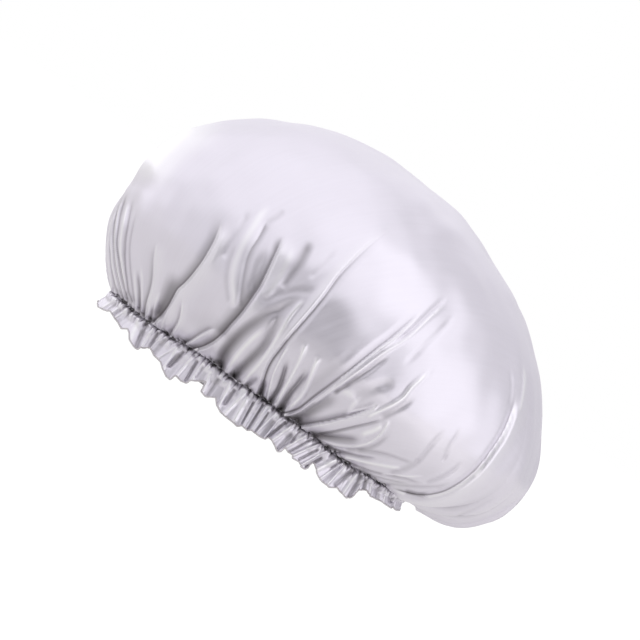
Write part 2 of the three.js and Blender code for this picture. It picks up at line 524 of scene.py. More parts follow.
@dataclass(frozen=True)
class Fold:
    """One fold of the half that the picture doesn't show, which climbs from the band.

    The path is pairs of degrees from the forehead and hundredths of the climb. The rest is in
    millimetres, but for the fade, which is in hundredths of the climb.
    """

    path: Places
    height: float
    steep: SteepSide
    sharp_reach: float
    soft_reach: float
    keen: float
    crease: float
    crease_reach: float
    fade: float

    def relief(self, turn: Array, climb: Array, round_mm: Array, climb_mm: Array) -> Array:
        """Height that the fold adds.

        Args:
            turn: Shares of a turn.
            climb: Shares of the climb.
            round_mm: Millimetres of cloth in a full turn at each place.
            climb_mm: Millimetres of cloth from band to peak at each place.

        Returns:
            Heights in millimetres.
        """
        degrees, climbs = np.array(self.path).T / ((360.0,), (100.0,))
        step, crest_round, foot, swell = 0.004, 0.3, 0.004, 0.02
        middle, above, below = (flowing_path(climbs, degrees, climb + gap) for gap in (0, step, -step))
        lean = (above - below) / (2 * step) * round_mm / climb_mm
        away = turn_gap(turn, middle) * round_mm / np.sqrt(1 + lean**2) * self.steep.value
        u = np.sqrt(away**2 + crest_round**2) / np.where(away < 0, self.soft_reach, self.sharp_reach)
        pointed = np.clip(1 - u / 1.35, 0, 1) ** 2
        body = self.height * (self.keen * pointed + (1 - self.keen) * np.exp(-((u * 1.5) ** 2)))
        place = self.sharp_reach * 1.1 + self.crease_reach * 0.7
        body = body - self.crease * np.exp(-(((away - place) / self.crease_reach) ** 2))
        return body * eased((climb - foot) / swell) * eased((climbs[-1] + 0.01 - climb) / (self.fade / 100))


@dataclass(frozen=True)
class GatherSize:
    """Size of one order of gathers in millimetres, where order 0 is the finest and 3 the widest.

    They swell over the length grow and have gone by the length fade. Keen is the sharpness of the
    valleys between them, and held back is how much less they show where folds are placed one by one.
    """

    order: int
    height: float
    grow: float
    fade: float
    keen: float
    held_back: float = 0.0


@dataclass
class Gathers:
    """Gathers that stand round the band and merge by twos as they climb."""

    count: int = 164
    seed: int = 11

    def __post_init__(self) -> None:
        """Sets out uneven gathers, then keeps some of their valleys for each wider order."""
        rng = np.random.default_rng(self.seed)
        width = rng.uniform(0.55, 1.5, self.count)
        edges = np.cumsum(width) / width.sum()
        # Each order holds its valleys as shares of a turn, and the strength and length of its gathers.
        self.orders: list[tuple[Array, Array, Array]] = []
        for _ in range(4):
            number = len(edges)
            self.orders.append((edges, rng.uniform(0.45, 1.35, number), rng.uniform(0.55, 1.5, number)))
            keep = np.ones(number, dtype=bool)
            k = int(rng.integers(0, 2))
            while k < number:
                keep[k] = False
                k += int(rng.choice([2, 2, 3, 1]))
            edges = edges[keep] if keep.sum() > 8 else edges[::2]

    def relief(self, turn: Array, up_mm: Array, size: GatherSize) -> Array:
        """Height that one order of gathers adds.

        Args:
            turn: Shares of a turn.
            up_mm: Millimetres of cloth above the band, or below it where negative.
            size: The order and its size.

        Returns:
            Heights in millimetres.
        """
        k, u, wide = self.seat(turn, up_mm, size.order)
        _, strength, length = self.orders[size.order]
        lens = 1 - np.abs(2 * u - 1) ** size.keen
        gone = np.exp(-((up_mm / (size.fade * length[k])) ** 2))
        swell = eased(up_mm / size.grow) if size.order else 0.55 + 0.45 * eased(np.abs(up_mm) / size.grow)
        return size.height * strength[k] * np.sqrt(wide) * (lens - 0.55) * swell * gone

    def seat(self, turn: Array, up_mm: Array, order: int) -> tuple[Array, Array, Array]:
        """Finds the gather that each place is on.

        Args:
            turn: Shares of a turn.
            up_mm: Millimetres of cloth above the band, or below it where negative.
            order: 0 for the finest gathers, 3 for the widest.

        Returns:
            The gather's number, how far across it the place lies, and its width against the mean.
        """
        edges = self.orders[order][0]
        # The gathers cross the band at a slant and sway as they climb, both as shares of a turn.
        slant = 0.0011 * np.sin(FULL_TURN * 29 * turn + 1.3) + 0.0008 * np.sin(FULL_TURN * 53 * turn)
        sway = slant * np.clip(up_mm / 3.0, -1, 1)
        sway = sway + 0.0035 * np.sin(FULL_TURN * 3 * turn + 0.4 + up_mm / 22) * eased(up_mm / 40)
        place = (turn + sway) % 1.0
        number = len(edges)
        k = np.searchsorted(edges, place) % number
        start = np.where(k == 0, edges[-1] - 1.0, edges[k - 1])
        end = edges[k]
        place = np.where((k == 0) & (place > edges[-1]), place - 1.0, place)
        return k, np.clip((place - start) / (end - start), 0.0, 1.0), (end - start) * number

    def pits(self, turn: Array, up_mm: Array) -> Array:
        """Painted shade of the dark slits of the gathered line.

        Args:
            turn: Shares of a turn.
            up_mm: Millimetres of cloth above the band, or below it where negative.

        Returns:
            How deep in them each place lies, from 0 to 1.
        """
        _, u, _ = self.seat(turn, up_mm, 0)
        slit = np.abs(2 * u - 1) ** 2.2
        return (0.12 + 0.80 * slit) * np.exp(-((up_mm / (1.2 + 3.0 * slit)) ** 2))

    def tangle(self, points: Array) -> Array:
        """Uneven noise of the drawn-up puckers, with a spread of about 1."""
        return soft_noise(points, 31, (2.4, 6.0), parts=44)

    def snarls(self, points: Array, up_mm: Array) -> Array:
        """Crossing dents where the drawn-up puckers catch each other, from 0 to 1, also painted as shade."""
        width = np.where(up_mm > 0, 6.6, 2.4)
        return 0.92 * eased((self.tangle(points) - 0.05) / 0.7) * np.exp(-((up_mm / width) ** 2))

    def painted_specks(self, points: Array, up_mm: Array) -> Array:
        """Painted highlights on the puckers between the dents, from 0 to 1."""
        return eased((-self.tangle(points) - 0.1) / 0.8) * np.exp(-((up_mm / 6.0) ** 2))

    def tone(
        self, turn: Array, up_mm: Array, points: Array, mark: Array, hollow: Array,
        root: Array | float = 0.0,
    ) -> Array:
        """Joins the painted shade and painted highlights of folds and gathers.

        Args:
            turn: Shares of a turn.
            up_mm: Millimetres of cloth above the band, or below it where negative.
            points: The plain sheet's points.
            mark: Painted tones of the folds set out one by one.
            hollow: Depth of painted shade in the seeded folds, from 0 to 1.
            root: Depth of the painted shade where the folds spring from the band, from 0 to 1.

        Returns:
            Tones from 1 for full painted shade in a crease to -1 for a full painted highlight on a crest.
        """
        # Painted shade in the slits and dents of the gathered line, and painted highlights on the puckers between them.
        line = np.maximum(self.pits(turn, up_mm), self.snarls(points, up_mm))
        dark = 1 - (1 - hollow) * (1 - np.clip(mark, 0, 1)) * (1 - line) * (1 - root)
        return dark - np.maximum(np.clip(-mark, 0, 1), self.painted_specks(points, up_mm)) * (1 - dark)

    def lift(self, turn: Array) -> Array:
        """How the gathered line rides up or down round the head.

        Args:
            turn: Shares of a turn.

        Returns:
            Millimetres over the band's plain oval.
        """
        degrees = np.array([45.0, 52, 59, 67, 73, 83, 95, 103, 110, 120, 130, 138, 150])
        heights = np.array([0.0, 0.9, 1.9, 3.0, 3.3, 2.7, 2.8, 2.4, 1.8, 0.3, -0.8, 0.0, 0.0])
        return flowing_path(degrees, heights, (turn % 1.0) * 360)

    def drawn_in(self, turn: Array, up_mm: Array) -> Array:
        """Millimetres that the gathering thread draws the cloth in along its wandering line."""
        line = 0.55 * np.sin(FULL_TURN * 17 * turn) + 0.45 * np.sin(FULL_TURN * 41 * turn + 2.0)
        return 1.1 * np.exp(-(((up_mm - line) / 0.9) ** 2))


def smooth_line(points: Places, parts: int = 4) -> Array:
    """A rounded line through a few places.

    Args:
        points: The places.
        parts: Pieces between two places.

    Returns:
        The line's places.
    """
    knots = np.array(points, dtype=float)
    run = np.concatenate([[0.0], np.cumsum(np.linalg.norm(np.diff(knots, axis=0), axis=1))])
    fine = np.interp(np.arange((len(knots) - 1) * parts + 1) / parts, np.arange(len(knots)), run)
    return np.stack([flowing_path(run, knots[:, k], fine) for k in (0, 1)], 1)


def fall(share: Array, keen: float) -> Array:
    """Falls from 1 to 0 over a share of 0 to 1.

    Args:
        share: Distance as a share of the reach.
        keen: 1 for a pointed start, 0 for a round one.

    Returns:
        The values.
    """
    held = np.clip(share, 0.0, 1.0)
    return keen * (1 - held) ** 2 + (1 - keen) * (1 - eased(held))


@dataclass(frozen=True)
class SeenFold:
    """A fold, ridge or valley placed where the picture shows it.

    The path is in the picture's pixels, from the band upwards, and so are the reaches. Heights are in
    millimetres. A fold with a high side rises sharply from its path to that side and dips on the other;
    without one it is an even ridge, or a valley where the height is negative. The shade is the depth of its
    painted shade at the path's start and end, and its reach; the glint scales its painted highlight.
    """

    path: Places
    height: float
    reach: float
    shade: tuple[float, float, float] = (0.0, 0.0, 3.0)
    high: SteepSide = SteepSide.NONE
    face: float = 2.5
    dip: float = 0.0
    dip_reach: float = 8.0
    keen: float = 0.4
    grow: float = 6.0
    fade: float = 14.0
    lead: float = 7.0
    glint: float = 1.0

    def line(self) -> Array:
        """Rounds the path.

        Returns:
            The path's places, begun a little before its first one.
        """
        first, second = np.array(self.path[0], dtype=float), np.array(self.path[1], dtype=float)
        way = (first - second) / np.linalg.norm(first - second)
        return smooth_line((tuple(first + self.lead * way), *self.path))

    def margin(self) -> float:
        """How far the fold reaches from its path."""
        return max(self.reach + self.face, self.dip_reach, 1.4 * self.shade[2]) + 1.0

    def measure(self, seen: Array, line: Array) -> tuple[Array, Array, float]:
        """Places points against the path.

        Args:
            seen: The points' places in the picture.
            line: The rounded path.

        Returns:
            Distance to the nape side, way along the path, and the path's length.
        """
        start, piece = line[:-1], np.diff(line, axis=0)
        size = np.linalg.norm(piece, axis=1)
        run = np.concatenate([[0.0], np.cumsum(size)])
        rel = seen[:, None] - start[None]
        share = np.clip((rel * piece).sum(-1) / size**2, 0.0, 1.0)
        off = rel - share[..., None] * piece
        gap = np.hypot(off[..., 0], off[..., 1])
        best = gap.argmin(1)
        row = np.arange(len(seen))
        cross = piece[best, 0] * rel[row, best, 1] - piece[best, 1] * rel[row, best, 0]
        return gap[row, best] * np.sign(cross), run[best] + share[row, best] * size[best], run[-1]

    def relief(self, away: Array, along: Array, length: float) -> tuple[Array, Array, Array]:
        """Height, painted shade and painted highlight of the fold.

        Args:
            away: Distance to the nape side of the path.
            along: Way along the path.
            length: The path's length.

        Returns:
            Heights in millimetres, depths of painted crease shade from 0 to 1, and strengths of painted highlight on
            the crest from 0 to 1.
        """
        strength = eased(along / self.grow) * eased((length - along) / self.fade)
        first, last, shade_reach = self.shade
        # Depth of the painted shade, which changes along the path.
        dark = (first + (last - first) * along / length) * strength
        if self.high is SteepSide.NONE:
            body = self.height * fall(np.abs(away) / self.reach, self.keen) * strength
            # Painted highlight along a ridge's top, and painted shade along the path where the fold has shade.
            bright = self.glint * min(1.2 * max(self.height, 0.0), 1.0)
            painted_highlight = bright * fall(np.abs(away) / (0.75 * self.reach), 0.2) * strength
            return body, dark * fall(np.abs(away) / (1.4 * shade_reach), 0.15), painted_highlight
        side = away * self.high.value
        face = -self.dip + (self.height + self.dip) * eased(side / self.face)
        body = np.where(
            side > self.face,
            self.height * fall((side - self.face) / self.reach, self.keen),
            np.where(side < 0, -self.dip * fall(-side / self.dip_reach, 0.2), face),
        )
        # Painted shade at the foot of the face, and painted highlights on the crest and on a broad band beyond it.
        slit, edge_width, crest_place, crest_width = 2.2, 1.6, 1.9, 2.0
        hollow = 0.72 * fall(-side / shade_reach, 0.2) + 0.28 * fall(-side / slit, 0.4)
        edge = np.where(side > 0, fall(side / edge_width, 0.0), hollow)
        painted_highlight = fall(np.abs(side - crest_place) / crest_width, 0.1)
        broad = 0.3 * fall((side - self.face) / self.reach, 0.0) * (side > 0)
        painted_highlight = self.glint * np.maximum(painted_highlight, broad * eased(side / self.face)) * strength
        return body * strength, dark * edge, painted_highlight


@dataclass
class SeenRelief:
    """The folds of one sheet that are placed one by one, with the view that they were seen in."""

    folds: tuple[SeenFold, ...]
    view: PictureView
    steps: int = 3
    share: float = 0.7

    def __post_init__(self) -> None:
        """Rounds every path once."""
        self.lines = [fold.line() for fold in self.folds]

    def read(self, seen: Array) -> tuple[Array, Array]:
        """Joins all the folds.

        Args:
            seen: Places in the picture.

        Returns:
            Heights in millimetres, and tones from 1 for full painted shade in a crease to -1 for a full painted
            highlight on a crest.
        """
        # Painted shade from each fold darkens the light share, and the strongest painted highlight is kept.
        height, light, glint = np.zeros(len(seen)), np.ones(len(seen)), np.zeros(len(seen))
        low, high = seen.min(0), seen.max(0)
        for fold, line in zip(self.folds, self.lines):
            edge = fold.margin()
            first, last = line.min(0) - edge, line.max(0) + edge
            if (last < low).any() or (first > high).any():
                continue
            near = np.flatnonzero(((seen > first) & (seen < last)).all(1))
            if len(near):
                lift, shade, painted_highlight = fold.relief(*fold.measure(seen[near], line))
                height[near] += lift
                light[near] *= 1 - np.clip(shade, 0, 1)
                glint[near] = np.maximum(glint[near], painted_highlight)
        return height, (1 - light) - np.clip(glint, 0, 1) * light**2

    def settle(self, points: Array, way: Array, start: Array) -> tuple[Array, Array]:
        """Height and tone of the folds, settled so that each shows where it was seen.

        Args:
            points: The plain sheet's points.
            way: Unit vectors off the cloth.
            start: Heights that the cloth already has, in millimetres.

        Returns:
            Heights in millimetres, and tones from 1 for full painted shade in a crease to -1 for a full painted
            highlight on a crest.
        """
        facing = way @ self.view.axes()[2]
        near = np.flatnonzero(facing > -0.05)
        height, tone = np.zeros(len(points)), np.zeros(len(points))
        if not len(near):
            return height, tone
        weight = eased((facing[near] + 0.05) / 0.25)
        found = np.zeros(len(near))
        for _ in range(self.steps):
            lifted = points[near] + way[near] * ((start[near] + found) * MM)[:, None]
            wanted, mark = self.read(self.view.place(lifted))
            found = found + self.share * (wanted * weight - found)
        height[near], tone[near] = found, mark * weight
        return height, tone


F, N = SteepSide.FOREHEAD, SteepSide.NAPE

SEEN_FOLDS: tuple[SeenFold, ...] = (
    # The bundle of narrow folds beside the forehead.
    SeenFold(((118, 295), (113.5, 280), (110.2, 264), (109.2, 250), (108.4, 240)), -1.0, 2.4, (0.45, 0.25, 1.3)),
    SeenFold(((122, 297), (120.6, 290), (117.8, 280), (114, 260), (112.7, 240), (113.2, 228), (115, 217), (118, 206),
        (121.5, 198), (126, 188)), -1.5, 2.6, (0.6, 0.45, 1.3), keen=0.7),
    SeenFold(((127, 298), (125, 290), (122.2, 280), (120.2, 270), (118.3, 260), (116.8, 250), (116.5, 240),
        (117.8, 230), (119.2, 220), (121.5, 210), (124.5, 201), (128, 192)), -1.5, 2.8, (0.6, 0.5, 1.5), keen=0.5),
    SeenFold(((131, 299), (128, 290), (126.4, 280), (125, 270), (124.3, 260), (124.5, 250), (125, 240), (126.6, 230),
        (128.4, 220), (131, 208), (134, 198)), -1.6, 3.0, (0.6, 0.35, 1.5), keen=0.6, fade=20),
    SeenFold(((134, 300), (131.6, 282), (129.8, 264), (129.2, 250), (131, 235), (134, 221), (137, 210)), -0.9, 2.6,
        (0.35, 0.15, 1.4), fade=20),
    SeenFold(((111.5, 286), (108.4, 262), (107.6, 245), (110, 226), (114, 212)), 0.7, 1.8),
    SeenFold(((116, 284), (112, 262), (111, 245), (112, 228), (116, 211), (122, 197)), 0.7, 1.7),
    SeenFold(((121.6, 290), (119.4, 280), (116.3, 262), (114.8, 245), (115.6, 228), (118.5, 211), (122.6, 200)), 0.7,
        1.7),
    SeenFold(((125.4, 288), (121.8, 264), (120.4, 246), (122, 230), (125, 214), (129, 200)), 0.8, 2.6),
    SeenFold(((139.5, 306), (139.2, 292), (138, 279), (137, 268)), -1.1, 2.6, (0.8, 0.2, 2.0), keen=0.6),
    SeenFold(((136, 304), (135.6, 292), (134.8, 280), (134, 266)), 0.5, 2.4),
    SeenFold(((141.6, 307), (142, 292), (142, 280), (141, 264)), 0.6, 2.4),
    SeenFold(((142, 188), (152, 166), (166, 149), (184, 134), (206, 124), (232, 119)), 2.2, 42, keen=0.0, grow=34,
        fade=46, lead=2),
    # The first fold towards the nape from them, and the short one below the tall one.
    SeenFold(((144.5, 312), (146, 302), (149, 292), (151.5, 281), (152.4, 270), (152.8, 260), (154, 250), (156, 240)),
        0.8, 11, (0.75, 0.1, 5), N, 3.6, 1.0, 9, fade=18),
    SeenFold(((153, 318), (155, 309), (157, 299), (160, 288)), 0.8, 4.0),
    SeenFold(((151, 317), (152.4, 308), (154, 298)), -1.0, 2.4, (0.7, 0.1, 2.0), keen=0.6),
    # The first tall fold, with the dark hollow before it.
    SeenFold(((155, 320), (162, 313), (168, 305), (173, 296), (177, 289), (183, 283.5), (190, 276), (196, 268.5),
        (202, 260.5), (208, 250.5), (213, 241.5), (217, 232), (219.5, 225), (221, 218)), 1.2, 18, (1.0, 0.6, 11), N,
        4.6, 1.4, 12, fade=26),
    SeenFold(((159, 312), (165, 300), (170, 288), (174, 278), (178, 270)), -1.2, 8, (0.7, 0.3, 8), keen=0.2, fade=16),
    SeenFold(((169, 336), (173, 329), (177, 322), (179.5, 313), (180.5, 303), (181, 294)), 0.9, 8, (0.7, 0.1, 5), N,
        2.4, 0.9, 6, fade=16),
    SeenFold(((162, 327), (165, 317), (168, 309), (173, 301)), 0.7, 2.6, keen=0.6),
    SeenFold(((178, 346), (185, 342.5), (190, 340), (196, 336), (203, 331.5), (210, 328.5), (217, 328)), 1.4, 9,
        (0.95, 0.25, 4.5), N, 2.6, 1.2, 7, fade=10),
    # The broad soft branch and its valleys.
    SeenFold(((226, 253), (232, 242), (239, 231), (245, 220), (250, 210)), -0.8, 6, (0.08, 0.12, 4), keen=0.2,
        fade=12),
    SeenFold(((213, 259), (217, 250), (221, 240), (225, 230)), 0.4, 4.0, keen=0.3, fade=10),
    SeenFold(((234, 303), (232.5, 285), (233.5, 270), (238, 255), (245, 241), (253, 228), (261, 215), (271, 204)),
        0.55, 8, keen=0.0, fade=18),
    SeenFold(((229, 297), (227.5, 283), (228.5, 268), (232, 255), (238, 243)), -0.4, 4.5, (0.2, 0.15, 4), keen=0.1,
        fade=12),
    SeenFold(((240.5, 300), (242.5, 285), (244.5, 272), (247, 260), (251.5, 249), (257.5, 240), (263, 230),
        (268, 219)), 0.15, 7, (0.3, 0.6, 7), F, 5.0, 0.7, 9, keen=0.0, fade=12, glint=0.25),
    SeenFold(((253, 284), (257, 270), (262, 258), (268, 249)), -0.4, 6, (0.15, 0.1, 6), keen=0.1, fade=16),
    SeenFold(((272, 220), (279, 215), (285, 209)), -0.6, 4, (0.15, 0.15, 4), keen=0.1, fade=6, grow=4),
    # The tall fold that sweeps up from the band.
    SeenFold(((187, 351), (195, 348), (203, 346), (209, 343), (214, 340), (222, 333), (231, 323), (240, 313),
        (249, 301), (256, 291), (261, 283), (266, 273), (271, 262), (276, 251), (280, 242), (282, 235)), 1.3, 15,
        (1.0, 0.7, 8), N, 4.4, 1.3, 9, fade=18, grow=4),
    SeenFold(((222, 330), (232, 318), (241, 307), (249, 296), (256, 285), (261, 274)), -0.8, 12, (0.45, 0.25, 9),
        keen=0.1, fade=16),
    SeenFold(((268, 294), (276, 282), (283, 270), (289, 257), (294, 243)), 0.5, 8.0, keen=0.1, fade=20),
    SeenFold(((286, 284), (292, 276), (298, 267), (303, 257), (308, 247), (311, 240)), -0.6, 7, (0.3, 0.6, 6),
        keen=0.1, fade=12),
    SeenFold(((314, 274), (324, 264), (331, 256), (338, 248)), -0.3, 5, (0.05, 0.08, 3), keen=0.2),
    SeenFold(((262, 299), (276, 295), (290, 292), (306, 291), (318, 292)), -0.35, 7, (0.2, 0.2, 6), keen=0.1, grow=10),
    # Valleys and ridges between the two tall folds.
    SeenFold(((220, 364), (224, 354), (230, 345), (238, 336), (247, 328), (257, 321), (268, 315), (280, 310),
        (292, 304), (304, 299)), -1.7, 8, (1.0, 0.2, 8.5), keen=0.3, fade=24),
    SeenFold(((227, 371), (233, 361), (241, 351), (250, 341), (259, 333), (266, 327)), 0.8, 5.5, keen=0.1),
    SeenFold(((231, 381), (238, 372), (246, 364), (253, 357), (260, 350), (266, 342), (271, 332), (276, 322),
        (281, 313), (286, 307)), -1.8, 6.5, (1.0, 0.2, 6.5), keen=0.3, fade=20),
    SeenFold(((243, 382), (254, 370), (262, 360), (269, 350), (276, 339), (283, 328), (290, 316), (297, 307),
        (305, 300)), 0.9, 4.2, keen=0.3, fade=10),
    SeenFold(((247, 386), (254, 380), (261, 377)), -1.2, 4, (0.8, 0.3, 3.5), fade=6, grow=3),
    # The middle fold, which laps over the plane behind it.
    SeenFold(((261, 392), (264.5, 378), (268, 368), (272, 360.5), (280, 350), (290, 337), (300, 325.5), (310, 314),
        (320, 302), (330, 289), (340, 275.5), (350, 265), (362, 253), (373, 243), (385, 234), (398, 227)), 1.4, 9,
        (1.0, 0.3, 3.2), F, 3.8, 1.2, 7, keen=0.6, fade=90, glint=0.9),
    SeenFold(((258, 397), (262, 388), (265, 378)), -1.6, 4.5, (0.9, 0.5, 4.5), fade=8, grow=3),
    # Blades between the middle fold and the long slanting one.
    SeenFold(((268, 396), (271, 383), (274, 373), (279, 362), (285, 351), (292, 341)), 1.1, 2.6, keen=0.5),
    SeenFold(((269, 404), (273, 397), (278, 389), (282, 379), (285, 369), (288, 357)), -1.8, 3.6, (1.0, 0.35, 3.8),
        keen=0.5),
    SeenFold(((277, 403), (283, 391), (290, 379), (297, 366), (302, 354), (306, 341)), 1.8, 4.4, fade=10),
    SeenFold(((281, 409), (286, 400), (291, 392), (297, 385), (303, 377), (309, 368)), -1.9, 4.6, (1.0, 0.35, 5.0)),
    SeenFold(((286, 411), (294, 404), (301, 396), (307, 386), (311, 375), (315, 364), (320, 355)), 2.0, 5.0, keen=0.3,
        fade=9),
    # The long slanting fold with a twin ridge, and the shallow trough before it.
    SeenFold(((302, 396), (312, 387), (324, 377), (336, 367), (348, 357), (360, 347)), -0.3, 9, (0.22, 0.2, 9),
        keen=0.0, grow=12, fade=18),
    SeenFold(((282, 413), (291, 411.5), (298, 409), (305, 404), (313, 397.5), (321, 391.5), (330, 385), (340, 377.5),
        (350, 370), (360, 362), (370, 354), (380, 346), (390, 338.5), (400, 330), (410, 321), (420, 311)), 1.3, 4.5,
        (1.0, 0.15, 3.0), N, 3.2, 1.5, 9, keen=0.6, fade=24),
    SeenFold(((318, 401), (330, 392), (340, 385), (350, 377.5), (360, 370), (370, 362.5), (380, 355), (390, 348.5),
        (400, 342.5), (412, 334), (425, 322), (437, 311), (448, 303)), 1.3, 3.2, keen=0.5, fade=16, glint=0.6),
    SeenFold(((340, 381.5), (352, 373), (364, 364), (376, 355), (386, 347)), -0.7, 2.0, (0.25, 0.15, 1.4), fade=10),
    SeenFold(((338, 391), (345, 387), (353, 381), (362, 375), (371, 369), (380, 362), (390, 356)), -1.2, 4.0,
        (0.7, 0.25, 2.8), keen=0.2, fade=20),
    SeenFold(((398, 341), (408, 333), (418, 324), (428, 314), (438, 305), (448, 297)), -0.8, 4.5, (0.1, 0.15, 3.4),
        keen=0.1, grow=16, fade=16),
    SeenFold(((408, 361), (418, 352), (428, 342), (438, 333), (448, 323), (456, 314)), -0.6, 4.5, (0.06, 0.12, 3.4),
        keen=0.1, grow=18, fade=18),
    SeenFold(((416, 386), (424, 379), (431, 371), (437, 363)), -0.3, 3.4, keen=0.1, grow=10),
    SeenFold(((294, 421), (306, 414), (317, 407), (328, 401), (340, 395)), -2.0, 7.5, (0.95, 0.25, 8), keen=0.2,
        fade=14),
    SeenFold(((372, 415), (384, 409), (394, 404), (404, 397), (411, 388), (420, 380), (430, 371)), 1.3, 4.0, keen=0.3,
        fade=14),
    SeenFold(((384, 416), (396, 410), (406, 404), (415, 396)), -1.0, 5.0, (0.3, 0.15, 5), keen=0.1, grow=8, fade=18),
    SeenFold(((358, 397), (370, 390), (382, 385), (396, 383)), -1.0, 9, (0.15, 0.15, 8), keen=0.1, fade=12),
    SeenFold(((334, 388), (342, 390), (350, 394), (358, 400)), 0.6, 8.0, keen=0.0, grow=12, fade=12, lead=1),
    SeenFold(((349, 413), (353, 405), (358, 399), (364, 396)), 0.5, 5.0, keen=0.1, grow=8, fade=12),
    # Lips and leaves towards the nape.
    SeenFold(((298, 425.5), (312, 423.5), (325, 421.5), (338, 418.5), (350, 415.5), (360, 412), (370, 408),
        (378, 403)), 1.6, 7.5, (1.0, 0.3, 9), N, 2.6, 1.5, 8, fade=8),
    SeenFold(((352, 411.5), (362, 409.5), (371, 407), (378, 403)), 1.0, 3.0, keen=0.3, fade=6),
    SeenFold(((322, 434), (340, 430.5), (355, 427), (370, 423.5), (386, 419)), -1.2, 2.4, (0.65, 0.3, 2.2), keen=0.5),
    SeenFold(((314, 436), (328, 437), (340, 438.5), (352, 440), (364, 441)), -1.7, 6.0, (1.0, 0.35, 6), keen=0.3,
        fade=14),
    SeenFold(((320, 438.5), (328, 442), (336, 444.8), (348, 446), (358, 445.8), (367, 443.5), (376, 438.5),
        (383, 431.5), (387, 424), (388, 419)), 1.6, 2.8, keen=0.5, fade=8),
    SeenFold(((366, 433), (375, 430), (383, 425)), 1.0, 6.0, keen=0.1, fade=6),
    SeenFold(((350, 449.5), (364, 449), (374, 446), (383, 440), (390, 431)), -0.9, 3.0, (0.35, 0.2, 3.0), keen=0.3),
    SeenFold(((328, 448), (341, 452), (352, 455), (364, 457.5), (378, 459)), -1.6, 2.8, (0.95, 0.15, 2.4), keen=0.5,
        fade=10),
    SeenFold(((362, 451), (376, 452.5), (390, 456), (402, 460.5), (414, 464)), -1.0, 3.4, (0.3, 0.2, 3.2), keen=0.3,
        fade=10),
    SeenFold(((348, 458), (362, 461.5), (378, 464.5), (392, 467), (402, 468.5)), 1.2, 3.6, keen=0.3, fade=8),
    SeenFold(((394, 472), (404, 469), (414, 464), (420, 457)), -0.8, 4.0, (0.2, 0.15, 4), keen=0.2, fade=6),
    SeenFold(((346, 461.5), (358, 467), (371, 471.5), (386, 475), (402, 477.5)), -1.2, 2.2, (0.6, 0.25, 1.8),
        keen=0.5),
    SeenFold(((352, 468), (366, 473.5), (380, 478), (396, 481.5), (412, 483.5)), -0.9, 2.0, (0.35, 0.2, 1.6)),
    SeenFold(((386, 474.5), (398, 475.5), (412, 476.5), (424, 476)), 0.7, 2.2),
    SeenFold(((396, 477), (406, 479), (415, 482), (424, 484.5)), -0.9, 2.6, (0.3, 0.2, 2.2), keen=0.3),
    SeenFold(((430, 481.5), (442, 477), (454, 470), (463, 461)), -0.9, 3.4, (0.15, 0.1, 2.6), keen=0.2),
    SeenFold(((372, 484), (390, 484), (408, 486), (424, 487), (440, 486.5), (452, 482)), -0.9, 2.8, (0.3, 0.12, 2.4),
        keen=0.3),
    SeenFold(((420, 459), (428, 449), (436, 440), (446, 430)), -1.0, 4.0, (0.08, 0.1, 3), keen=0.2),
    SeenFold(((445, 457), (450, 446), (456, 436), (461, 426)), -0.8, 2.6, (0.08, 0.1, 2), keen=0.3),
    # The long crease that bounds the drooping lobe at the nape.
    SeenFold(((398, 490), (412, 494.5), (422, 495.5), (432, 494.5), (444, 491.5), (455, 486), (466, 478.5),
        (475, 470.5), (484, 460.5), (491, 450.5), (498, 440.5), (504, 430), (509, 418), (513, 405), (515, 393)), 1.6,
        13, (0.85, 0.35, 2.6), N, 6.5, 1.4, 6, grow=14, fade=26),
    SeenFold(((410, 493.5), (419, 495.5), (430, 495)), -1.0, 4.5, (0.75, 0.6, 3.6), grow=4, fade=8),
    SeenFold(((521, 406), (523.5, 392), (524.5, 378), (523, 364)), 0.8, 2.6, fade=12),
    SeenFold(((510, 401), (511.5, 390), (511, 378), (509, 366)), -0.5, 3.0, keen=0.3),
    SeenFold(((462, 514), (475, 508.5), (488, 501.5), (500, 495)), -0.7, 3.2, (0.12, 0.05, 2.4), keen=0.3),
)


def leaning_path(start: float, lean: float, bow: float, top: float, places: int) -> Places:
    """Degrees and hundredths of the climb along a path that leans and bows as it rises."""
    share = np.linspace(0.0, 1.0, places)
    return tuple(zip(start + lean * share + bow * np.sin(math.pi * share), 2 + (top - 2) * share))


def far_side_folds() -> tuple[Fold, ...]:
    """The main folds of the half that the picture doesn't show.

    Returns:
        The folds.
    """
    rows = (
        (176, 0, 1.9, 40, N), (197, -4, 2.7, 52, N), (218, -7, 3.1, 44, N), (238, -5, 2.6, 60, F),
        (258, -3, 3.3, 56, N), (277, 2, 2.8, 62, F), (297, 4, 3.1, 46, N), (316, 0, 2.4, 50, F),
        (337, -1, 2.0, 42, F),
    )
    return tuple(
        Fold(leaning_path(start, lean, 1.2, top, 6), height, steep, 1.8, 9.5, 0.7, 1.8, 2.4, 12)
        for start, lean, height, top, steep in rows
    )


def seeded_folds(start: float, end: float, seed: int) -> tuple[Fold, ...]:
    """Short folds for the parts of the crown that turn away from the picture.

    Args:
        start: First degree round the head.
        end: Last degree round the head.
        seed: Seed of their places and sizes.

    Returns:
        The folds.
    """
    rng = np.random.default_rng(seed)
    folds: list[Fold] = []
    at = start
    while at < end:
        top = float(rng.uniform(12, 27))
        drift, bow = rng.normal(0, 3.0), rng.normal(0, 1.2)
        side = F if rng.random() < 0.5 else N
        sharp, soft = rng.uniform(1.3, 1.8), rng.uniform(2.0, 3.4)
        height, keen = rng.uniform(1.4, 2.9), rng.uniform(0.4, 0.7)
        crease, crease_reach, fade = rng.uniform(1.2, 2.4), rng.uniform(1.2, 2.2), rng.uniform(4, 9)
        path = leaning_path(at, drift, bow, top, 5)
        folds.append(Fold(path, height, side, sharp, soft, keen, crease, crease_reach, fade))
        at += rng.uniform(3.6, 6.4)
    return tuple(folds)


SWELLS: tuple[tuple[float, int, Pair, float], ...] = ((0.45, 5, (34, 80), 40), (0.16, 6, (14, 30), 20))
"""Slow swells of the crown: height, seed, shortest and longest wave, and height above the band to grow in."""


